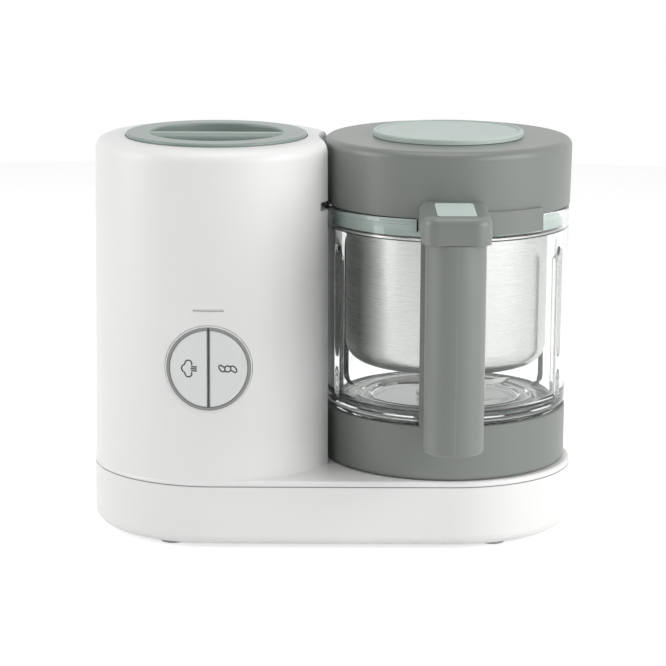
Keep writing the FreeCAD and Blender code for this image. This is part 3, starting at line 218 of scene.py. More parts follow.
class FoodMakerColours(PropertyGroup):
    """Colours of the finishes."""

    shell: colour("Shell", "White plastic of the tower and base", (0.83, 0.83, 0.822))
    shut_line_shadow: colour("Shut line", "Shadow line between the housing and the base", (0.20, 0.20, 0.198))
    button: colour("Buttons", "Pale plastic of the two buttons", (0.75, 0.765, 0.765))
    ring: colour("Ring", "Grey ring round the buttons", (0.27, 0.27, 0.265))
    mark: colour("Marks", "Printed marks on the buttons", (0.035, 0.038, 0.04))
    lamp: colour("Lamp", "Thin line of the lamp", (0.34, 0.34, 0.335))
    grey_green: colour("Grey-green", "Lid, handle and collar", (0.198, 0.214, 0.2))
    sage: colour("Sage", "Boiler cap", (0.25, 0.305, 0.28))
    mint: colour("Mint", "Release key", (0.65, 0.755, 0.71))
    stopper: colour("Stopper", "Round stopper in the lid", (0.475, 0.55, 0.515))
    silicone: colour("Silicone", "Seals", (0.60, 0.67, 0.63))
    steel: colour("Steel", "Basket, blades and shafts", (0.66, 0.655, 0.645))
    glass: colour("Glass", "Tint of the jug glass", (0.965, 0.985, 0.972))
    feet: colour("Feet", "Rubber feet", (0.46, 0.46, 0.455))
    gland: colour("Gland", "Rubber gland of the mains lead", (0.42, 0.42, 0.41))
    screw: colour("Screws", "Steel of the base screws", (0.5, 0.5, 0.49))
    switch: colour("Switches", "Push switches behind the buttons", (0.02, 0.02, 0.021))
    board_dark: colour("Board, dark", "Darker green of the control board", (0.015, 0.09, 0.04))
    board_light: colour("Board, light", "Lighter green of the control board", (0.02, 0.13, 0.06))
    track: colour("Tracks", "Copper tracks under the green lacquer", (0.16, 0.17, 0.05))
    heater: colour("Heater", "Cast alloy of the heating plate", (0.42, 0.42, 0.43))
    nozzle: colour("Nozzle", "Plastic of the steam nozzle", (0.72, 0.72, 0.71))
    motor: colour("Motor", "Steel of the motor", (0.36, 0.36, 0.37))
    pulley: colour("Pulleys", "Nylon of the two pulleys", (0.05, 0.05, 0.052))
    belt: colour("Belt", "Rubber of the drive belt", (0.03, 0.03, 0.03))
    bronze: colour("Bronze", "Bearings of the spindle", (0.50, 0.33, 0.16))
    nickel: colour("Nickel", "Bearing of the blade", (0.40, 0.395, 0.385))
    dog: colour("Dogs", "Nylon of the two dogs", (0.08, 0.085, 0.082))


class FoodMakerSizes(PropertyGroup):
    """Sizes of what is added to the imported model."""

    mark_line: length("Mark line", "Width of the printed lines on the buttons", 0.00074)
    mark_thick: length("Mark thickness", "Thickness of the printed lines", 0.0001)
    mark_offset: length("Mark offset", "Marks from the ring axis, to either side", 0.0109)
    rib_depth: length("Rib depth", "Depth of the ribs inside the glass", 0.0024)
    floor_ridge: length("Floor ridge", "Height of the round ridges on the glass floor", 0.0009)
    seam: length("Seam", "Half width of the mould seam on the handle", 0.00016)


class FoodMakerStage(PropertyGroup):
    """Light levels and lens."""

    lens: share("Lens", "Focal length in millimetres on a sensor 36 mm wide", 151.35)
    key: share("Right light", "Power of the soft light on the right in watts", 13.6)
    side: share("Left light", "Power of the soft light on the left in watts", 12.2)
    front: share("Front light", "Power of the weak soft light in front on the right in watts", 5.5)
    top: share("Top light", "Power of the soft light overhead in watts", 6.0)
    fill: share("Room light", "Strength of the even light all round", 0.23)
    mirror: share("Room in mirrors", "Brightness of the room in front, as metal and glass show it", 0.35)
    floor_lift: share("Floor lift", "Brightness added to the floor for the white background", 0.64)


class Value:
    """A node output; arithmetic on it adds Math nodes to its material."""

    def __init__(self, finish, socket):
        self.finish = finish
        self.socket = socket

    def maths(self, operation, first, second=0.0):
        return self.finish.node("ShaderNodeMath", {"operation": operation}, {0: first, 1: second})

    def __add__(self, other):
        return self.maths("ADD", self, other)

    def __radd__(self, other):
        return self.maths("ADD", other, self)

    def __sub__(self, other):
        return self.maths("SUBTRACT", self, other)

    def __rsub__(self, other):
        return self.maths("SUBTRACT", other, self)

    def __mul__(self, other):
        return self.maths("MULTIPLY", self, other)

    def __rmul__(self, other):
        return self.maths("MULTIPLY", other, self)

    def __abs__(self):
        return self.maths("ABSOLUTE", self)

    def above(self, limit):
        return self.maths("GREATER_THAN", self, limit)

    def below(self, limit):
        return self.maths("LESS_THAN", self, limit)

    def larger(self, other):
        return self.maths("MAXIMUM", self, other)

    def root(self):
        return self.maths("SQRT", self)


class Finish:
    """A material in the making: one method adds nodes, one closes it with a surface shader."""

    def __init__(self, name, tree=None):
        self.material = None
        if tree is None:
            self.material = bpy.data.materials.new(name)
            self.material.use_nodes = True
            tree = self.material.node_tree
        self.tree = tree
        self.tree.nodes.clear()
        self.place = self.node("ShaderNodeTexCoord", output="Object")

    def node(self, kind, settings=None, inputs=None, output=0):
        made = self.tree.nodes.new(kind)
        for key, value in (settings or {}).items():
            setattr(made, key, value)
        for key, value in (inputs or {}).items():
            if isinstance(value, Value):
                self.tree.links.new(value.socket, made.inputs[key])
            else:
                made.inputs[key].default_value = value
        return made if output is None else Value(self, made.outputs[output])

    def axis(self, which):
        return self.node("ShaderNodeSeparateXYZ", None, {0: self.place}, which)

    def stretched(self, scale):
        return self.node("ShaderNodeMapping", None, {"Vector": self.place, "Scale": scale})

    def noise(self, scale, detail=2.0, roughness=0.5, place=None):
        inputs = {"Vector": place or self.place, "Scale": scale, "Detail": detail, "Roughness": roughness}
        return self.node("ShaderNodeTexNoise", None, inputs)

    def mix(self, share_of, first, second):
        settings = {"data_type": "RGBA"}
        return self.node("ShaderNodeMix", settings, {0: share_of, 6: first, 7: second}, 2)

    def bump(self, height, strength, distance):
        inputs = {"Height": height, "Strength": strength, "Distance": distance}
        return self.node("ShaderNodeBump", None, inputs)

    def close(self, **sockets):
        """Surface shader and output; the keywords are socket names with underscores for spaces."""
        inputs = {key.replace("_", " "): value for key, value in sockets.items()}
        shader = self.node("ShaderNodeBsdfPrincipled", None, inputs)
        self.node("ShaderNodeOutputMaterial", None, {"Surface": shader}, None)
        return self.material


def tone(shade, times=1.0):
    """A colour with alpha, lighter or darker by a factor."""
    return tuple(min(1.0, c * times) for c in shade) + (1.0,)


def moulded(name, shade, rough, grain=2600.0, depth=0.00003, vary=0.035):
    """Moulded plastic: soft clouding, fine spark-eroded grain and faint handling marks."""
    finish = Finish(name)
    cloud = finish.noise(scale=16.0, detail=3.0)
    texture = finish.noise(scale=grain, detail=3.0, roughness=0.6)
    rubbing = finish.stretched((1.0, 1.0, 3.5))
    rubbed = finish.noise(scale=9.0, detail=5.0, roughness=0.65, place=rubbing)
    base = finish.mix(cloud, tone(shade, 1 - vary), tone(shade, 1 + vary))
    roughness = rough + (texture - 0.5) * 0.10 + (rubbed - 0.5) * 0.14
    normal = finish.bump(texture, strength=0.25, distance=depth)
    return finish, base, roughness, normal


def plastic(name, shade, **settings):
    """Moulded plastic with nothing else on it."""
    finish, base, roughness, normal = moulded(name, shade, **settings)
    return finish.close(Base_Color=base, Roughness=roughness, Normal=normal)


def handle_plastic(name, shade, rough, seam):
    """Grey-green plastic with the paler mould seam down the front of the grip."""
    finish, base, roughness, normal = moulded(name, shade, rough)
    across = abs(finish.axis(0) - JUG_AXIS.x)
    front = finish.axis(1).below(HANDLE_FRONT + SEAM_DEPTH)
    line = across.below(seam) * front
    seam_share = 0.45
    base = finish.mix(line * seam_share, base, tone(shade, 1.5))
    return finish.close(Base_Color=base, Roughness=roughness, Normal=normal)


def ring_plastic(name, colours):
    """Satin grey ring with a white outer edge, and a pale bar between the buttons with a dark line on it."""
    finish, base, roughness, normal = moulded(name, colours.ring, rough=0.32, grain=3200.0)
    across = abs(finish.axis(0) - RING_CENTRE.x)
    up = finish.axis(2) - RING_CENTRE.z
    from_centre = (across * across + up * up).root()
    base = finish.mix(from_centre.above(RING_EDGE), base, tone(colours.shell))
    bar = across.below(BAR_HALF_WIDTH) * from_centre.below(BAR_REACH)
    base = finish.mix(bar, base, tone(colours.button))
    line = across.below(BAR_LINE_HALF_WIDTH) * up.above(BAR_LINE_LOW) * up.below(BAR_LINE_HIGH)
    base = finish.mix(line, base, tone(colours.mark))
    return finish.close(Base_Color=base, Roughness=roughness, Normal=normal)


def lined_plastic(name, shade, height, half_width, line_shade, **settings):
    """Moulded plastic with a level line of another colour painted at one height, used for the lamp's line
    and for the painted shadow along the shut line.
    """
    finish, base, roughness, normal = moulded(name, shade, vary=0.012, **settings)
    line = abs(finish.axis(2) - height).below(half_width)
    base = finish.mix(line, base, tone(line_shade))
    return finish.close(Base_Color=base, Roughness=roughness, Normal=normal)


def rounded_plastic(name, shade, rough, edge):
    """Moulded plastic whose edges catch the light as if rounded."""
    finish, base, roughness, normal = moulded(name, shade, rough, grain=2400.0, vary=0.03)
    soft = finish.node("ShaderNodeBevel", {"samples": 6}, {"Radius": edge, "Normal": normal})
    return finish.close(Base_Color=base, Roughness=roughness, Normal=soft)


def brushed(name, shade, rough, stretch=UPRIGHT_BRUSH):
    """Brushed steel: fine lines along one way, with a slow change of gloss."""
    finish = Finish(name)
    brush = finish.noise(scale=1.0, detail=4.0, roughness=0.7, place=finish.stretched(stretch))
    cloud = finish.noise(scale=22.0, detail=3.0)
    base = finish.mix(brush, tone(shade, 0.95), tone(shade, 1.04))
    roughness = rough + (brush - 0.5) * 0.12 + (cloud - 0.5) * 0.06
    normal = finish.bump(brush, strength=0.09, distance=0.00002)
    return finish.close(
        Base_Color=base, Roughness=roughness, Normal=normal, Metallic=1.0, Anisotropic=0.35
    )


def metal(name, shade, rough, grain=900.0):
    """Plain machined or cast metal with a mottled surface."""
    finish = Finish(name)
    mottle = finish.noise(scale=grain, detail=4.0, roughness=0.6)
    cloud = finish.noise(scale=40.0, detail=3.0)
    vary = 0.12
    base = finish.mix(cloud * 0.6 + mottle * 0.4, tone(shade, 1 - vary), tone(shade, 1 + vary))
    roughness = rough + (mottle - 0.5) * 0.2
    normal = finish.bump(mottle, strength=0.15, distance=0.00003)
    return finish.close(Base_Color=base, Roughness=roughness, Normal=normal, Metallic=1.0)


def clear_glass(name, tint):
    """Thick pressed glass with a slight waviness and faint drying marks."""
    finish = Finish(name)
    wave = finish.noise(scale=34.0, detail=1.0)
    marks = finish.noise(scale=60.0, detail=6.0, roughness=0.7)
    polish = 0.004
    dulled = 0.018
    roughness = polish + marks.above(0.66) * dulled
    normal = finish.bump(wave, strength=0.10, distance=0.0006)
    shade = finish.mix(wave, tone(tint, 0.995), tone(tint))
    return finish.close(
        Base_Color=shade, Roughness=roughness, Normal=normal, Transmission_Weight=1.0, IOR=1.49
    )


def soft_rubber(name, shade, rough, clear=0.0):
    """Silicone or rubber: dusty bloom over a fine skin."""
    finish = Finish(name)
    skin = finish.noise(scale=1800.0, detail=3.0, roughness=0.6)
    bloom = finish.noise(scale=55.0, detail=4.0, roughness=0.6)
    base = finish.mix(bloom, tone(shade, 0.94), tone(shade, 1.05))
    roughness = rough + (bloom - 0.5) * 0.2
    normal = finish.bump(skin, strength=0.3, distance=0.00003)
    return finish.close(Base_Color=base, Roughness=roughness, Normal=normal, Subsurface_Weight=clear)


def board_finish(name, colours):
    """Green board with a lattice of copper tracks under the lacquer."""
    finish = Finish(name)
    inputs = {"Vector": finish.place, "Scale": 160.0, "Mortar Size": 0.03}
    lattice = finish.node("ShaderNodeTexBrick", None, inputs, "Fac")
    cloud = finish.noise(scale=90.0, detail=3.0)
    green = finish.mix(cloud, tone(colours.board_dark), tone(colours.board_light))
    track_share = 0.7
    base = finish.mix(lattice * track_share, green, tone(colours.track))
    return finish.close(Base_Color=base, Roughness=0.3 + cloud * 0.15)


def paint(material, *nodes):
    """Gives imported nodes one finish."""
    for name in nodes:
        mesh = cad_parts[name].data
        mesh.materials.clear()
        mesh.materials.append(material)


def new_piece(name, bm, material):
    """An object of the scene from a finished bmesh."""
    mesh = bpy.data.meshes.new(name)
    bm.to_mesh(mesh)
    bm.free()
    mesh.materials.append(material)
    made = bpy.data.objects.new(name, mesh)
    bpy.context.scene.collection.objects.link(made)
    return made


class DressHousing(Operator):
    """White satin shells of the tower, deck and base"""

    bl_idname = "food_maker.housing"
    bl_label = "Housing"
    bl_options = {"REGISTER", "UNDO"}

    def execute(self, context):
        colours = context.scene.food_maker_colours
        # The dark line at the shut line is painted shadow, the shade in the gap between the housing and the
        # base
        shell = lined_plastic(
            "white_shell_plastic", colours.shell, SHUT_LINE, SHUT_SHADOW_HALF_WIDTH, colours.shut_line_shadow,
            rough=0.36, grain=2300.0, depth=0.00004
        )
        paint(shell, "main_housing", "base_tray")
        return {"FINISHED"}


class DressFeet(Operator):
    """Rubber feet, base screws and cord gland"""

    bl_idname = "food_maker.feet"
    bl_label = "Feet, screws and gland"
    bl_options = {"REGISTER", "UNDO"}

    def execute(self, context):
        colours = context.scene.food_maker_colours
        paint(soft_rubber("foot_rubber", colours.feet, rough=0.75), "rubber_feet")
        paint(metal("screw_steel", colours.screw, rough=0.35), "base_screws")
        paint(soft_rubber("gland_rubber", colours.gland, rough=0.6), "cord_gland")
        return {"FINISHED"}


def on_tower(u, z, out):
    """Point on the tower skin at a sideways place and height, lifted out of it."""
    share_up = (z - TOWER_FOOT_HEIGHT) / (TOWER_TOP - TOWER_FOOT_HEIGHT)
    radius = TOWER_FOOT_RADIUS + (TOWER_TOP_RADIUS - TOWER_FOOT_RADIUS) * share_up + out
    x = RING_CENTRE.x + u - TOWER_AXIS.x
    return Vector((TOWER_AXIS.x + x, TOWER_AXIS.y - math.sqrt(radius * radius - x * x), z))


def arc(cx, cy, r, start, end, count=12):
    """Points on an arc, angles in degrees."""
    turn = [math.radians(start + (end - start) * i / count) for i in range(count + 1)]
    return [(cx + r * math.cos(t), cy + r * math.sin(t)) for t in turn]


def smoothed(points, rounds=2):
    """Corner cutting that keeps the two ends."""
    for _ in range(rounds):
        cut = [points[0]]
        for (ax, ay), (bx, by) in zip(points, points[1:]):
            cut.append((ax * 0.75 + bx * 0.25, ay * 0.75 + by * 0.25))
            cut.append((ax * 0.25 + bx * 0.75, ay * 0.25 + by * 0.75))
        points = cut + [points[-1]]
    return points


# One wing of the blade mark; the other is the same turned half round
BLADE_WING = [
    (-1.5, 0.95), (-2.9, 1.35), (-3.9, 2.3), (-4.7, 2.0),
    (-5.2, 1.3), (-4.4, -0.5), (-3.0, -1.7), (-1.2, -1.3),
]

# Strokes of the two marks in millimetres from their middles
STEAM_MARK = [
    arc(-0.4, 2.9, 1.9, -28, 165) + arc(-2.0, 0.0, 2.3, 108, 252) + arc(-0.4, -2.9, 1.9, 195, 388),
    smoothed([(1.1, 1.15), (2.3, 1.2), (3.2, 0.95), (4.3, 1.15)]),
    smoothed([(0.8, 0.0), (2.2, 0.1), (3.2, -0.2), (4.4, 0.0)]),
    smoothed([(1.1, -1.15), (2.3, -1.1), (3.2, -1.35), (4.3, -1.15)]),
]
BLADE_MARK = [
    arc(0, 0, 1.75, 0, 360, 24),
    smoothed(BLADE_WING),
    smoothed([(-x, -y) for x, y in BLADE_WING]),
]


def printed_mark(name, strokes, centre, sizes, material):
    """Thin raised print on a button: each stroke is a flat band wrapped on the button face."""
    bm = bmesh.new()
    half = sizes.mark_line / 2
    under = BUTTON_PROUD - MARK_SUNK
    over = BUTTON_PROUD + sizes.mark_thick
    for stroke in strokes:
        points = [Vector((x * MM, y * MM)) for x, y in stroke]
        bands = []
        for i, p in enumerate(points):
            along = points[min(i + 1, len(points) - 1)] - points[max(i - 1, 0)]
            side = Vector((-along.y, along.x)).normalized() * half
            band = []
            for q, out in ((p + side, under), (p + side, over), (p - side, over), (p - side, under)):
                band.append(bm.verts.new(on_tower(centre + q.x, RING_CENTRE.z + q.y, out)))
            bands.append(band)
        for a, b in zip(bands, bands[1:]):
            for k in range(4):
                bm.faces.new((a[k], a[(k + 1) % 4], b[(k + 1) % 4], b[k]))
        bm.faces.new(bands[0])
        bm.faces.new(list(reversed(bands[-1])))
    bmesh.ops.recalc_face_normals(bm, faces=bm.faces)
    return new_piece(name, bm, material)


class DressControls(Operator):
    """Button ring, two buttons with their printed marks, and the lamp window"""

    bl_idname = "food_maker.controls"
    bl_label = "Buttons"
    bl_options = {"REGISTER", "UNDO"}

    def execute(self, context):
        colours = context.scene.food_maker_colours
        sizes = context.scene.food_maker_sizes
        paint(ring_plastic("ring_grey_plastic", colours), "button_ring")
        pale = plastic("button_plastic", colours.button, rough=0.3, grain=3400.0, depth=0.00002, vary=0.015)
        paint(pale, "steam_button", "blend_button")
        window = lined_plastic(
            "lamp_window_plastic", colours.shell, LAMP_LINE, LAMP_LINE_HALF_WIDTH, colours.lamp,
            rough=0.3, grain=3000.0, depth=0.00002
        )
        paint(window, "lamp_window")
        ink = plastic("button_print", colours.mark, rough=0.45, grain=4200.0, depth=0.00001, vary=0.12)
        steam = printed_mark("steam_mark", STEAM_MARK, -sizes.mark_offset, sizes, ink)
        blend = printed_mark("blend_mark", BLADE_MARK, sizes.mark_offset, sizes, ink)
        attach(steam, "steam_button")
        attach(blend, "blend_button")
        return {"FINISHED"}


class DressElectronics(Operator):
    """Control board and push switches behind the buttons"""

    bl_idname = "food_maker.electronics"
    bl_label = "Control board"
    bl_options = {"REGISTER", "UNDO"}

    def execute(self, context):
        colours = context.scene.food_maker_colours
        paint(board_finish("board_laminate", colours), "control_board")
        paint(plastic("switch_plastic", colours.switch, rough=0.4, grain=3000.0, vary=0.15), "push_switches")
        return {"FINISHED"}


class DressBoiler(Operator):
    """Boiler, heating plate, steam nozzle, gasket and screw cap"""

    bl_idname = "food_maker.boiler"
    bl_label = "Boiler and cap"
    bl_options = {"REGISTER", "UNDO"}

    def execute(self, context):
        colours = context.scene.food_maker_colours
        paint(brushed("boiler_steel", colours.steel, rough=0.3), "boiler_tank")
        paint(metal("heater_alloy", colours.heater, rough=0.55, grain=500.0), "heating_plate")
        paint(plastic("nozzle_plastic", colours.nozzle, rough=0.4), "steam_nozzle")
        paint(soft_rubber("gasket_silicone", colours.silicone, rough=0.5, clear=0.1), "cap_gasket")
        paint(rounded_plastic("sage_plastic", colours.sage, rough=0.32, edge=0.0014), "boiler_cap")
        return {"FINISHED"}


class DressDrive(Operator):
    """Motor, pulleys, belt, spindle, bearings and the two dogs"""

    bl_idname = "food_maker.drive"
    bl_label = "Drive"
    bl_options = {"REGISTER", "UNDO"}

    def execute(self, context):
        colours = context.scene.food_maker_colours
        paint(metal("motor_steel", colours.motor, rough=0.42), "motor_case", "motor_rotor")
        pulleys = plastic("pulley_nylon", colours.pulley, rough=0.5, grain=1800.0, vary=0.12)
        paint(pulleys, "motor_pulley", "spindle_pulley")
        paint(soft_rubber("belt_rubber", colours.belt, rough=0.7), "drive_belt")
        paint(brushed("spindle_steel", colours.steel, rough=0.24), "drive_spindle")
        paint(metal("bearing_bronze", colours.bronze, rough=0.38), "lower_bearing", "upper_bearing")
        paint(metal("bearing_nickel", colours.nickel, rough=0.32), "blade_bearing")
        dogs = plastic("dog_nylon", colours.dog, rough=0.5, grain=1800.0, vary=0.1)
        paint(dogs, "drive_dog", "driven_dog")
        return {"FINISHED"}


def quarter_round(radius, height, round_by, start, count=6):
    """A quarter round of a turned profile; start is its first angle in degrees about its own centre."""
    turn = [math.radians(start + 90 * i / count) for i in range(count + 1)]
    return [(radius + round_by * math.cos(t), height + round_by * math.sin(t)) for t in turn]


def rows(low, high, count):
    """Evenly spaced heights or radii, both ends included."""
    return [low + (high - low) * i / count for i in range(count + 1)]


def bump_shape(distance, half):
    """Smooth hump of height 1 that ends at half its width."""
    return 0.5 + 0.5 * math.cos(math.pi * distance / half) if abs(distance) < half else 0.0


def glass_outside():
    """Underside, foot, shoulder and wall of the glass as radius and height, up to the rim lug."""
    points = [(GLASS_SEAT, GLASS_LOW), (GLASS_UNDERSIDE, GLASS_LOW)]
    points += quarter_round(GLASS_FOOT - FOOT_ROUND, GLASS_LOW + FOOT_ROUND, FOOT_ROUND, -90)
    points.append((GLASS_FOOT, GLASS_SHOULDER))
    points += quarter_round(
        GLASS_WALL_LOW - SHOULDER_ROUND, GLASS_SHOULDER + SHOULDER_ROUND, SHOULDER_ROUND, -90
    )
    for z in rows(OUTER_START, OUTER_END, OUTER_ROWS):
        share_up = (z - GLASS_SHOULDER) / (GLASS_RIM - GLASS_SHOULDER)
        points.append((GLASS_WALL_LOW + (GLASS_WALL_TOP - GLASS_WALL_LOW) * share_up, z))
    for depth in (LUG_STOP_DEPTH - EDGE_STEP, LUG_DEPTH + EDGE_STEP, LUG_DEPTH - EDGE_STEP):
        points.append((GLASS_WALL_TOP, GLASS_RIM - depth))
    return points


def glass_lip():
    """Rounded rim of the glass, from the outside over to the mouth."""
    height = GLASS_RIM - LIP_ROUND
    outer = quarter_round(GLASS_WALL_TOP - LIP_ROUND, height, LIP_ROUND, 0)
    return outer + quarter_round(GLASS_MOUTH + LIP_ROUND, height, LIP_ROUND, 90)


def glass_inner(sizes):
    """Mouth, ledge, inner wall and ridged floor of the glass, down to the hole for the blade's bearing."""
    points = [
        (GLASS_MOUTH, GLASS_LEDGE + MOUTH_BEVEL),
        (GLASS_MOUTH - MOUTH_BEVEL, GLASS_LEDGE),
        (GLASS_INSIDE + LEDGE_BEVEL, GLASS_LEDGE),
        (GLASS_INSIDE, GLASS_LEDGE - LEDGE_BEVEL),
    ]
    points += [(GLASS_INSIDE, z) for z in rows(INNER_START, INNER_END, INNER_ROWS)]
    hollow = quarter_round(GLASS_INSIDE - FLOOR_ROUND, GLASS_FLOOR + FLOOR_ROUND, FLOOR_ROUND, -90, 10)
    points += list(reversed(hollow))
    for radius in rows(FLOOR_START, FLOOR_END, FLOOR_ROWS):
        hump = sum(bump_shape(radius - middle, half) for middle, half in FLOOR_RIDGES)
        points.append((radius, GLASS_FLOOR + sizes.floor_ridge / MM * hump))
    points.append((GLASS_SEAT, GLASS_FLOOR))
    return points


def glass_turns():
    """Angles of the glass sections, closer together at the ribs and at the ends of the rim lug."""
    turns = set(range(0, 360, SECTION_STEP))
    for middle in GLASS_RIBS:
        turns.update(middle + RIB_STEP * i for i in RIB_STEPS)
    for end in (LUG_START, LUG_STOP, LUG_END):
        turns.update(end + LUG_STEP * i for i in LUG_STEPS)
    return sorted(turn % 360 for turn in turns)


def rib_share(r, z):
    """How far a rib stands out at a place of the inner wall or floor, from 0 to 1."""
    wall_ends = RIB_FLOOR_END + RIB_FLOOR_FADE
    if r > wall_ends:
        share_in = max(0.0, min(1.0, (RIB_TOP - z) / RIB_TOP_FADE))
    else:
        share_in = max(0.0, (r - RIB_FLOOR_END) / RIB_FLOOR_FADE)
    return math.sin(share_in * math.pi / 2)


def glass_point(part, r, z, turn, sizes):
    """One point of the glass: the section, with the rim lug outside and the ribs inside."""
    at_lug = LUG_START <= turn <= LUG_END
    if part == "outside" and at_lug:
        in_lug = z > GLASS_RIM - LUG_DEPTH
        in_stop = z > GLASS_RIM - LUG_STOP_DEPTH and turn >= LUG_STOP
        if in_lug or in_stop:
            r = LUG_RADIUS
    if part == "lip" and at_lug and r > LIP_OUTER_HALF:
        r += LUG_RADIUS - GLASS_WALL_TOP
    if part == "inner" and r > RIB_FLOOR_END:
        depth = sizes.rib_depth / MM * rib_share(r, z)
        for middle in GLASS_RIBS:
            aside = math.radians((turn - middle + 180) % 360 - 180) * GLASS_INSIDE
            r -= depth * bump_shape(aside, RIB_HALF_WIDTH)
    t = math.radians(turn)
    return (JUG_AXIS.x + MM * r * math.cos(t), JUG_AXIS.y + MM * r * math.sin(t), MM * z)


def pressed_glass(name, sizes, material):
    """Glass of the jug as one closed turned body with its ribs, floor ridges and rim lug."""
    bm = bmesh.new()
    parts = {"outside": glass_outside(), "lip": glass_lip(), "inner": glass_inner(sizes)}
    section = [(part, r, z) for part, points in parts.items() for r, z in points]
    loops = []
    for turn in glass_turns():
        loops.append([bm.verts.new(glass_point(part, r, z, turn, sizes)) for part, r, z in section])
    for a, b in zip(loops, loops[1:] + loops[:1]):
        for i in range(len(section)):
            j = (i + 1) % len(section)
            bm.faces.new((a[i], b[i], b[j], a[j]))
    bmesh.ops.recalc_face_normals(bm, faces=bm.faces)
    made = new_piece(name, bm, material)
    made.data.shade_smooth()
    made.data.set_sharp_from_angle(angle=math.radians(GLASS_CREASE))
    return made


class DressJug(Operator):
    """Glass, collar, handle and seal of the jug"""

    bl_idname = "food_maker.jug"
    bl_label = "Jug"
    bl_options = {"REGISTER", "UNDO"}

    def execute(self, context):
        colours = context.scene.food_maker_colours
        sizes = context.scene.food_maker_sizes
        bowl = pressed_glass("pressed_glass", sizes, clear_glass("jug_glass", colours.glass))
        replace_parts(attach(bowl, "jug"), "glass_bowl")
        paint(plastic("collar_plastic", colours.grey_green, rough=0.42, grain=2200.0), "jug_collar")
        paint(handle_plastic("handle_plastic", colours.grey_green, rough=0.4, seam=sizes.seam), "jug_handle")
        paint(soft_rubber("bowl_silicone", colours.silicone, rough=0.5, clear=0.1), "bowl_seal")
        return {"FINISHED"}


class DressBlade(Operator):
    """Blade, its shaft and nut"""

    bl_idname = "food_maker.blade"
    bl_label = "Blade"
    bl_options = {"REGISTER", "UNDO"}

    def execute(self, context):
        colours = context.scene.food_maker_colours
        paint(brushed("blade_steel", colours.steel, rough=0.2, stretch=FLAT_BRUSH), "blade")
        paint(metal("shaft_steel", colours.steel, rough=0.25), "blade_shaft", "blade_nut")
        return {"FINISHED"}


class DressBasket(Operator):
    """Brushed steel steam basket"""

    bl_idname = "food_maker.basket"
    bl_label = "Steam basket"
    bl_options = {"REGISTER", "UNDO"}

    def execute(self, context):
        colours = context.scene.food_maker_colours
        darker = tone(colours.steel, 0.88)[:3]
        paint(brushed("basket_steel", darker, rough=0.27), "steam_basket")
        return {"FINISHED"}


class DressLid(Operator):
    """Lid, lid seal, release key and stopper"""

    bl_idname = "food_maker.lid"
    bl_label = "Lid"
    bl_options = {"REGISTER", "UNDO"}

    def execute(self, context):
        colours = context.scene.food_maker_colours
        paint(plastic("lid_plastic", colours.grey_green, rough=0.34, grain=2200.0), "lid")
        paint(soft_rubber("lid_silicone", colours.silicone, rough=0.45, clear=0.15), "lid_seal")
        paint(plastic("key_plastic", colours.mint, rough=0.36, vary=0.02), "release_key")
        paint(plastic("stopper_plastic", colours.stopper, rough=0.4, vary=0.02), "lid_stopper")
        return {"FINISHED"}


def soft_light(name, spot, size, watts):
    """Rectangular soft light aimed at the object."""
    data = bpy.data.lights.new(name, "AREA")
    data.shape = "RECTANGLE"
    data.size, data.size_y = size
    data.energy = watts
    lamp = bpy.data.objects.new(name, data)
    bpy.context.scene.collection.objects.link(lamp)
    lamp.location = spot
    lamp.rotation_euler = (Vector(LIGHT_TARGET) - Vector(spot)).to_track_quat("-Z", "Y").to_euler()
    return lamp


def background_rays(finish):
    """Rays that show the background: those of the camera, and those mirrored in or sent through a piece."""
    rays = finish.node("ShaderNodeLightPath", output=None)
    seen, mirrored, through = (Value(finish, rays.outputs[name]) for name in BACKGROUND_RAYS)
    return seen, mirrored.larger(through)


def seen_white(finish, lit, lift):
    """For rays that show the background, adds plain brightness to a lit surface."""
    seen, passed_on = background_rays(finish)
    glow = finish.node("ShaderNodeEmission", None, {"Color": (1, 1, 1, 1), "Strength": lift})
    both = finish.node("ShaderNodeAddShader", None, {0: lit, 1: glow})
    return finish.node("ShaderNodeMixShader", None, {0: seen.larger(passed_on), 1: lit, 2: both})


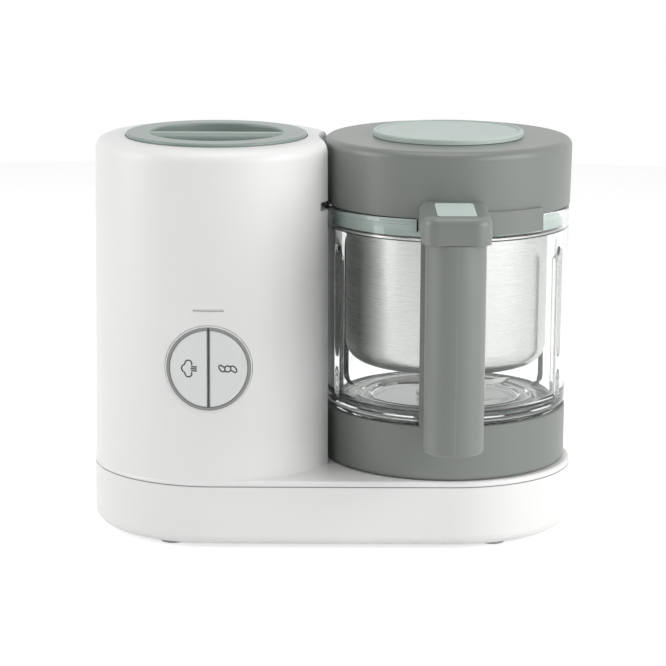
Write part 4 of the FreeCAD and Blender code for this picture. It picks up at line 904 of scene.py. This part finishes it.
class SetStage(Operator):
    """Pale floor, soft studio light and the camera of the photograph"""

    bl_idname = "food_maker.stage"
    bl_label = "Stage"
    bl_options = {"REGISTER", "UNDO"}

    def execute(self, context):
        scene = context.scene
        stage = scene.food_maker_stage
        scene.view_settings.view_transform = "Standard"
        self.floor(stage)
        self.room(scene, stage)
        for name, level, spot, size in SOFT_LIGHTS:
            soft_light(name, spot, size, getattr(stage, level))
        self.camera(scene, stage)
        return {"FINISHED"}

    def floor(self, stage):
        finish = Finish("floor_paper")
        fibre = finish.noise(scale=260.0, detail=4.0)
        white = finish.mix(fibre, (0.80, 0.80, 0.80, 1), (0.83, 0.83, 0.83, 1))
        paper = finish.node("ShaderNodeBsdfDiffuse", None, {"Color": white})
        shown = seen_white(finish, paper, stage.floor_lift)
        finish.node("ShaderNodeOutputMaterial", None, {"Surface": shown}, None)
        bm = bmesh.new()
        bmesh.ops.create_circle(bm, cap_ends=True, segments=FLOOR_SEGMENTS, radius=FLOOR_RADIUS)
        floor = new_piece("studio_floor", bm, finish.material)

    def room(self, scene, stage):
        world = bpy.data.worlds.new("studio_room")
        world.use_nodes = True
        finish = Finish(world.name, world.node_tree)
        seen, passed_on = background_rays(finish)
        direction = finish.node("ShaderNodeTexCoord", output="Generated")
        depth = finish.node("ShaderNodeSeparateXYZ", None, {0: direction}, 1)
        settings = {"operation": "MULTIPLY_ADD", "use_clamp": True}
        backdrop = finish.node("ShaderNodeMath", settings, {0: depth, 1: BACKDROP_SLOPE, 2: BACKDROP_SIDE})
        white = seen.larger(passed_on * (stage.mirror + backdrop * (1 - stage.mirror)))
        level = white.larger(stage.fill * (1 - seen.larger(passed_on)))
        light = finish.node("ShaderNodeBackground", None, {"Color": (1, 1, 1, 1), "Strength": level})
        finish.node("ShaderNodeOutputWorld", None, {"Surface": light}, None)
        scene.world = world

    def camera(self, scene, stage):
        data = bpy.data.cameras.new("photo_camera")
        data.sensor_width = CAMERA_SENSOR
        data.lens = stage.lens
        data.clip_start = CAMERA_NEAR
        data.clip_end = CAMERA_FAR
        camera = bpy.data.objects.new("photo_camera", data)
        scene.collection.objects.link(camera)
        pitch, yaw, roll = (math.radians(turn) for turn in (CAMERA_PITCH, CAMERA_YAW, CAMERA_ROLL))
        level = math.cos(pitch)
        ahead = Vector((math.sin(yaw) * level, math.cos(yaw) * level, -math.sin(pitch)))
        right = Vector((math.cos(yaw), -math.sin(yaw), 0.0))
        down = ahead.cross(right)
        across = right * math.cos(roll) + down * math.sin(roll)
        below = down * math.cos(roll) - right * math.sin(roll)
        turn = Matrix((across, -below, -ahead)).transposed().to_4x4()
        camera.matrix_world = Matrix.Translation(CAMERA_PLACE) @ turn
        scene.camera = camera


GROUPS = {
    "food_maker_colours": FoodMakerColours,
    "food_maker_sizes": FoodMakerSizes,
    "food_maker_stage": FoodMakerStage,
}
STEPS = (
    SetStage,
    DressHousing,
    DressFeet,
    DressControls,
    DressElectronics,
    DressBoiler,
    DressDrive,
    DressJug,
    DressBlade,
    DressBasket,
    DressLid,
)


class FOODMAKER_PT_steps(Panel):
    """Steps and settings of the baby food maker"""

    bl_label = "Food Maker"
    bl_space_type = "VIEW_3D"
    bl_region_type = "UI"
    bl_category = "Food Maker"

    def draw(self, context):
        for step in STEPS:
            self.layout.operator(step.bl_idname)
        for name, group in GROUPS.items():
            settings = getattr(context.scene, name)
            for setting in group.__annotations__:
                self.layout.prop(settings, setting)


def register():
    """Adds the settings, the steps and the panel to Blender."""
    for name, group in GROUPS.items():
        bpy.utils.register_class(group)
        setattr(bpy.types.Scene, name, PointerProperty(type=group))
    for step in STEPS:
        bpy.utils.register_class(step)
    bpy.utils.register_class(FOODMAKER_PT_steps)


def unregister():
    """Takes them out again."""
    bpy.utils.unregister_class(FOODMAKER_PT_steps)
    for step in reversed(STEPS):
        bpy.utils.unregister_class(step)
    for name, group in GROUPS.items():
        delattr(bpy.types.Scene, name)
        bpy.utils.unregister_class(group)


def main():
    """Runs all steps in order."""
    register()
    bpy.ops.food_maker.stage()
    bpy.ops.food_maker.housing()
    bpy.ops.food_maker.feet()
    bpy.ops.food_maker.controls()
    bpy.ops.food_maker.electronics()
    bpy.ops.food_maker.boiler()
    bpy.ops.food_maker.drive()
    bpy.ops.food_maker.jug()
    bpy.ops.food_maker.blade()
    bpy.ops.food_maker.basket()
    bpy.ops.food_maker.lid()


if __name__ == "__main__":
    main()
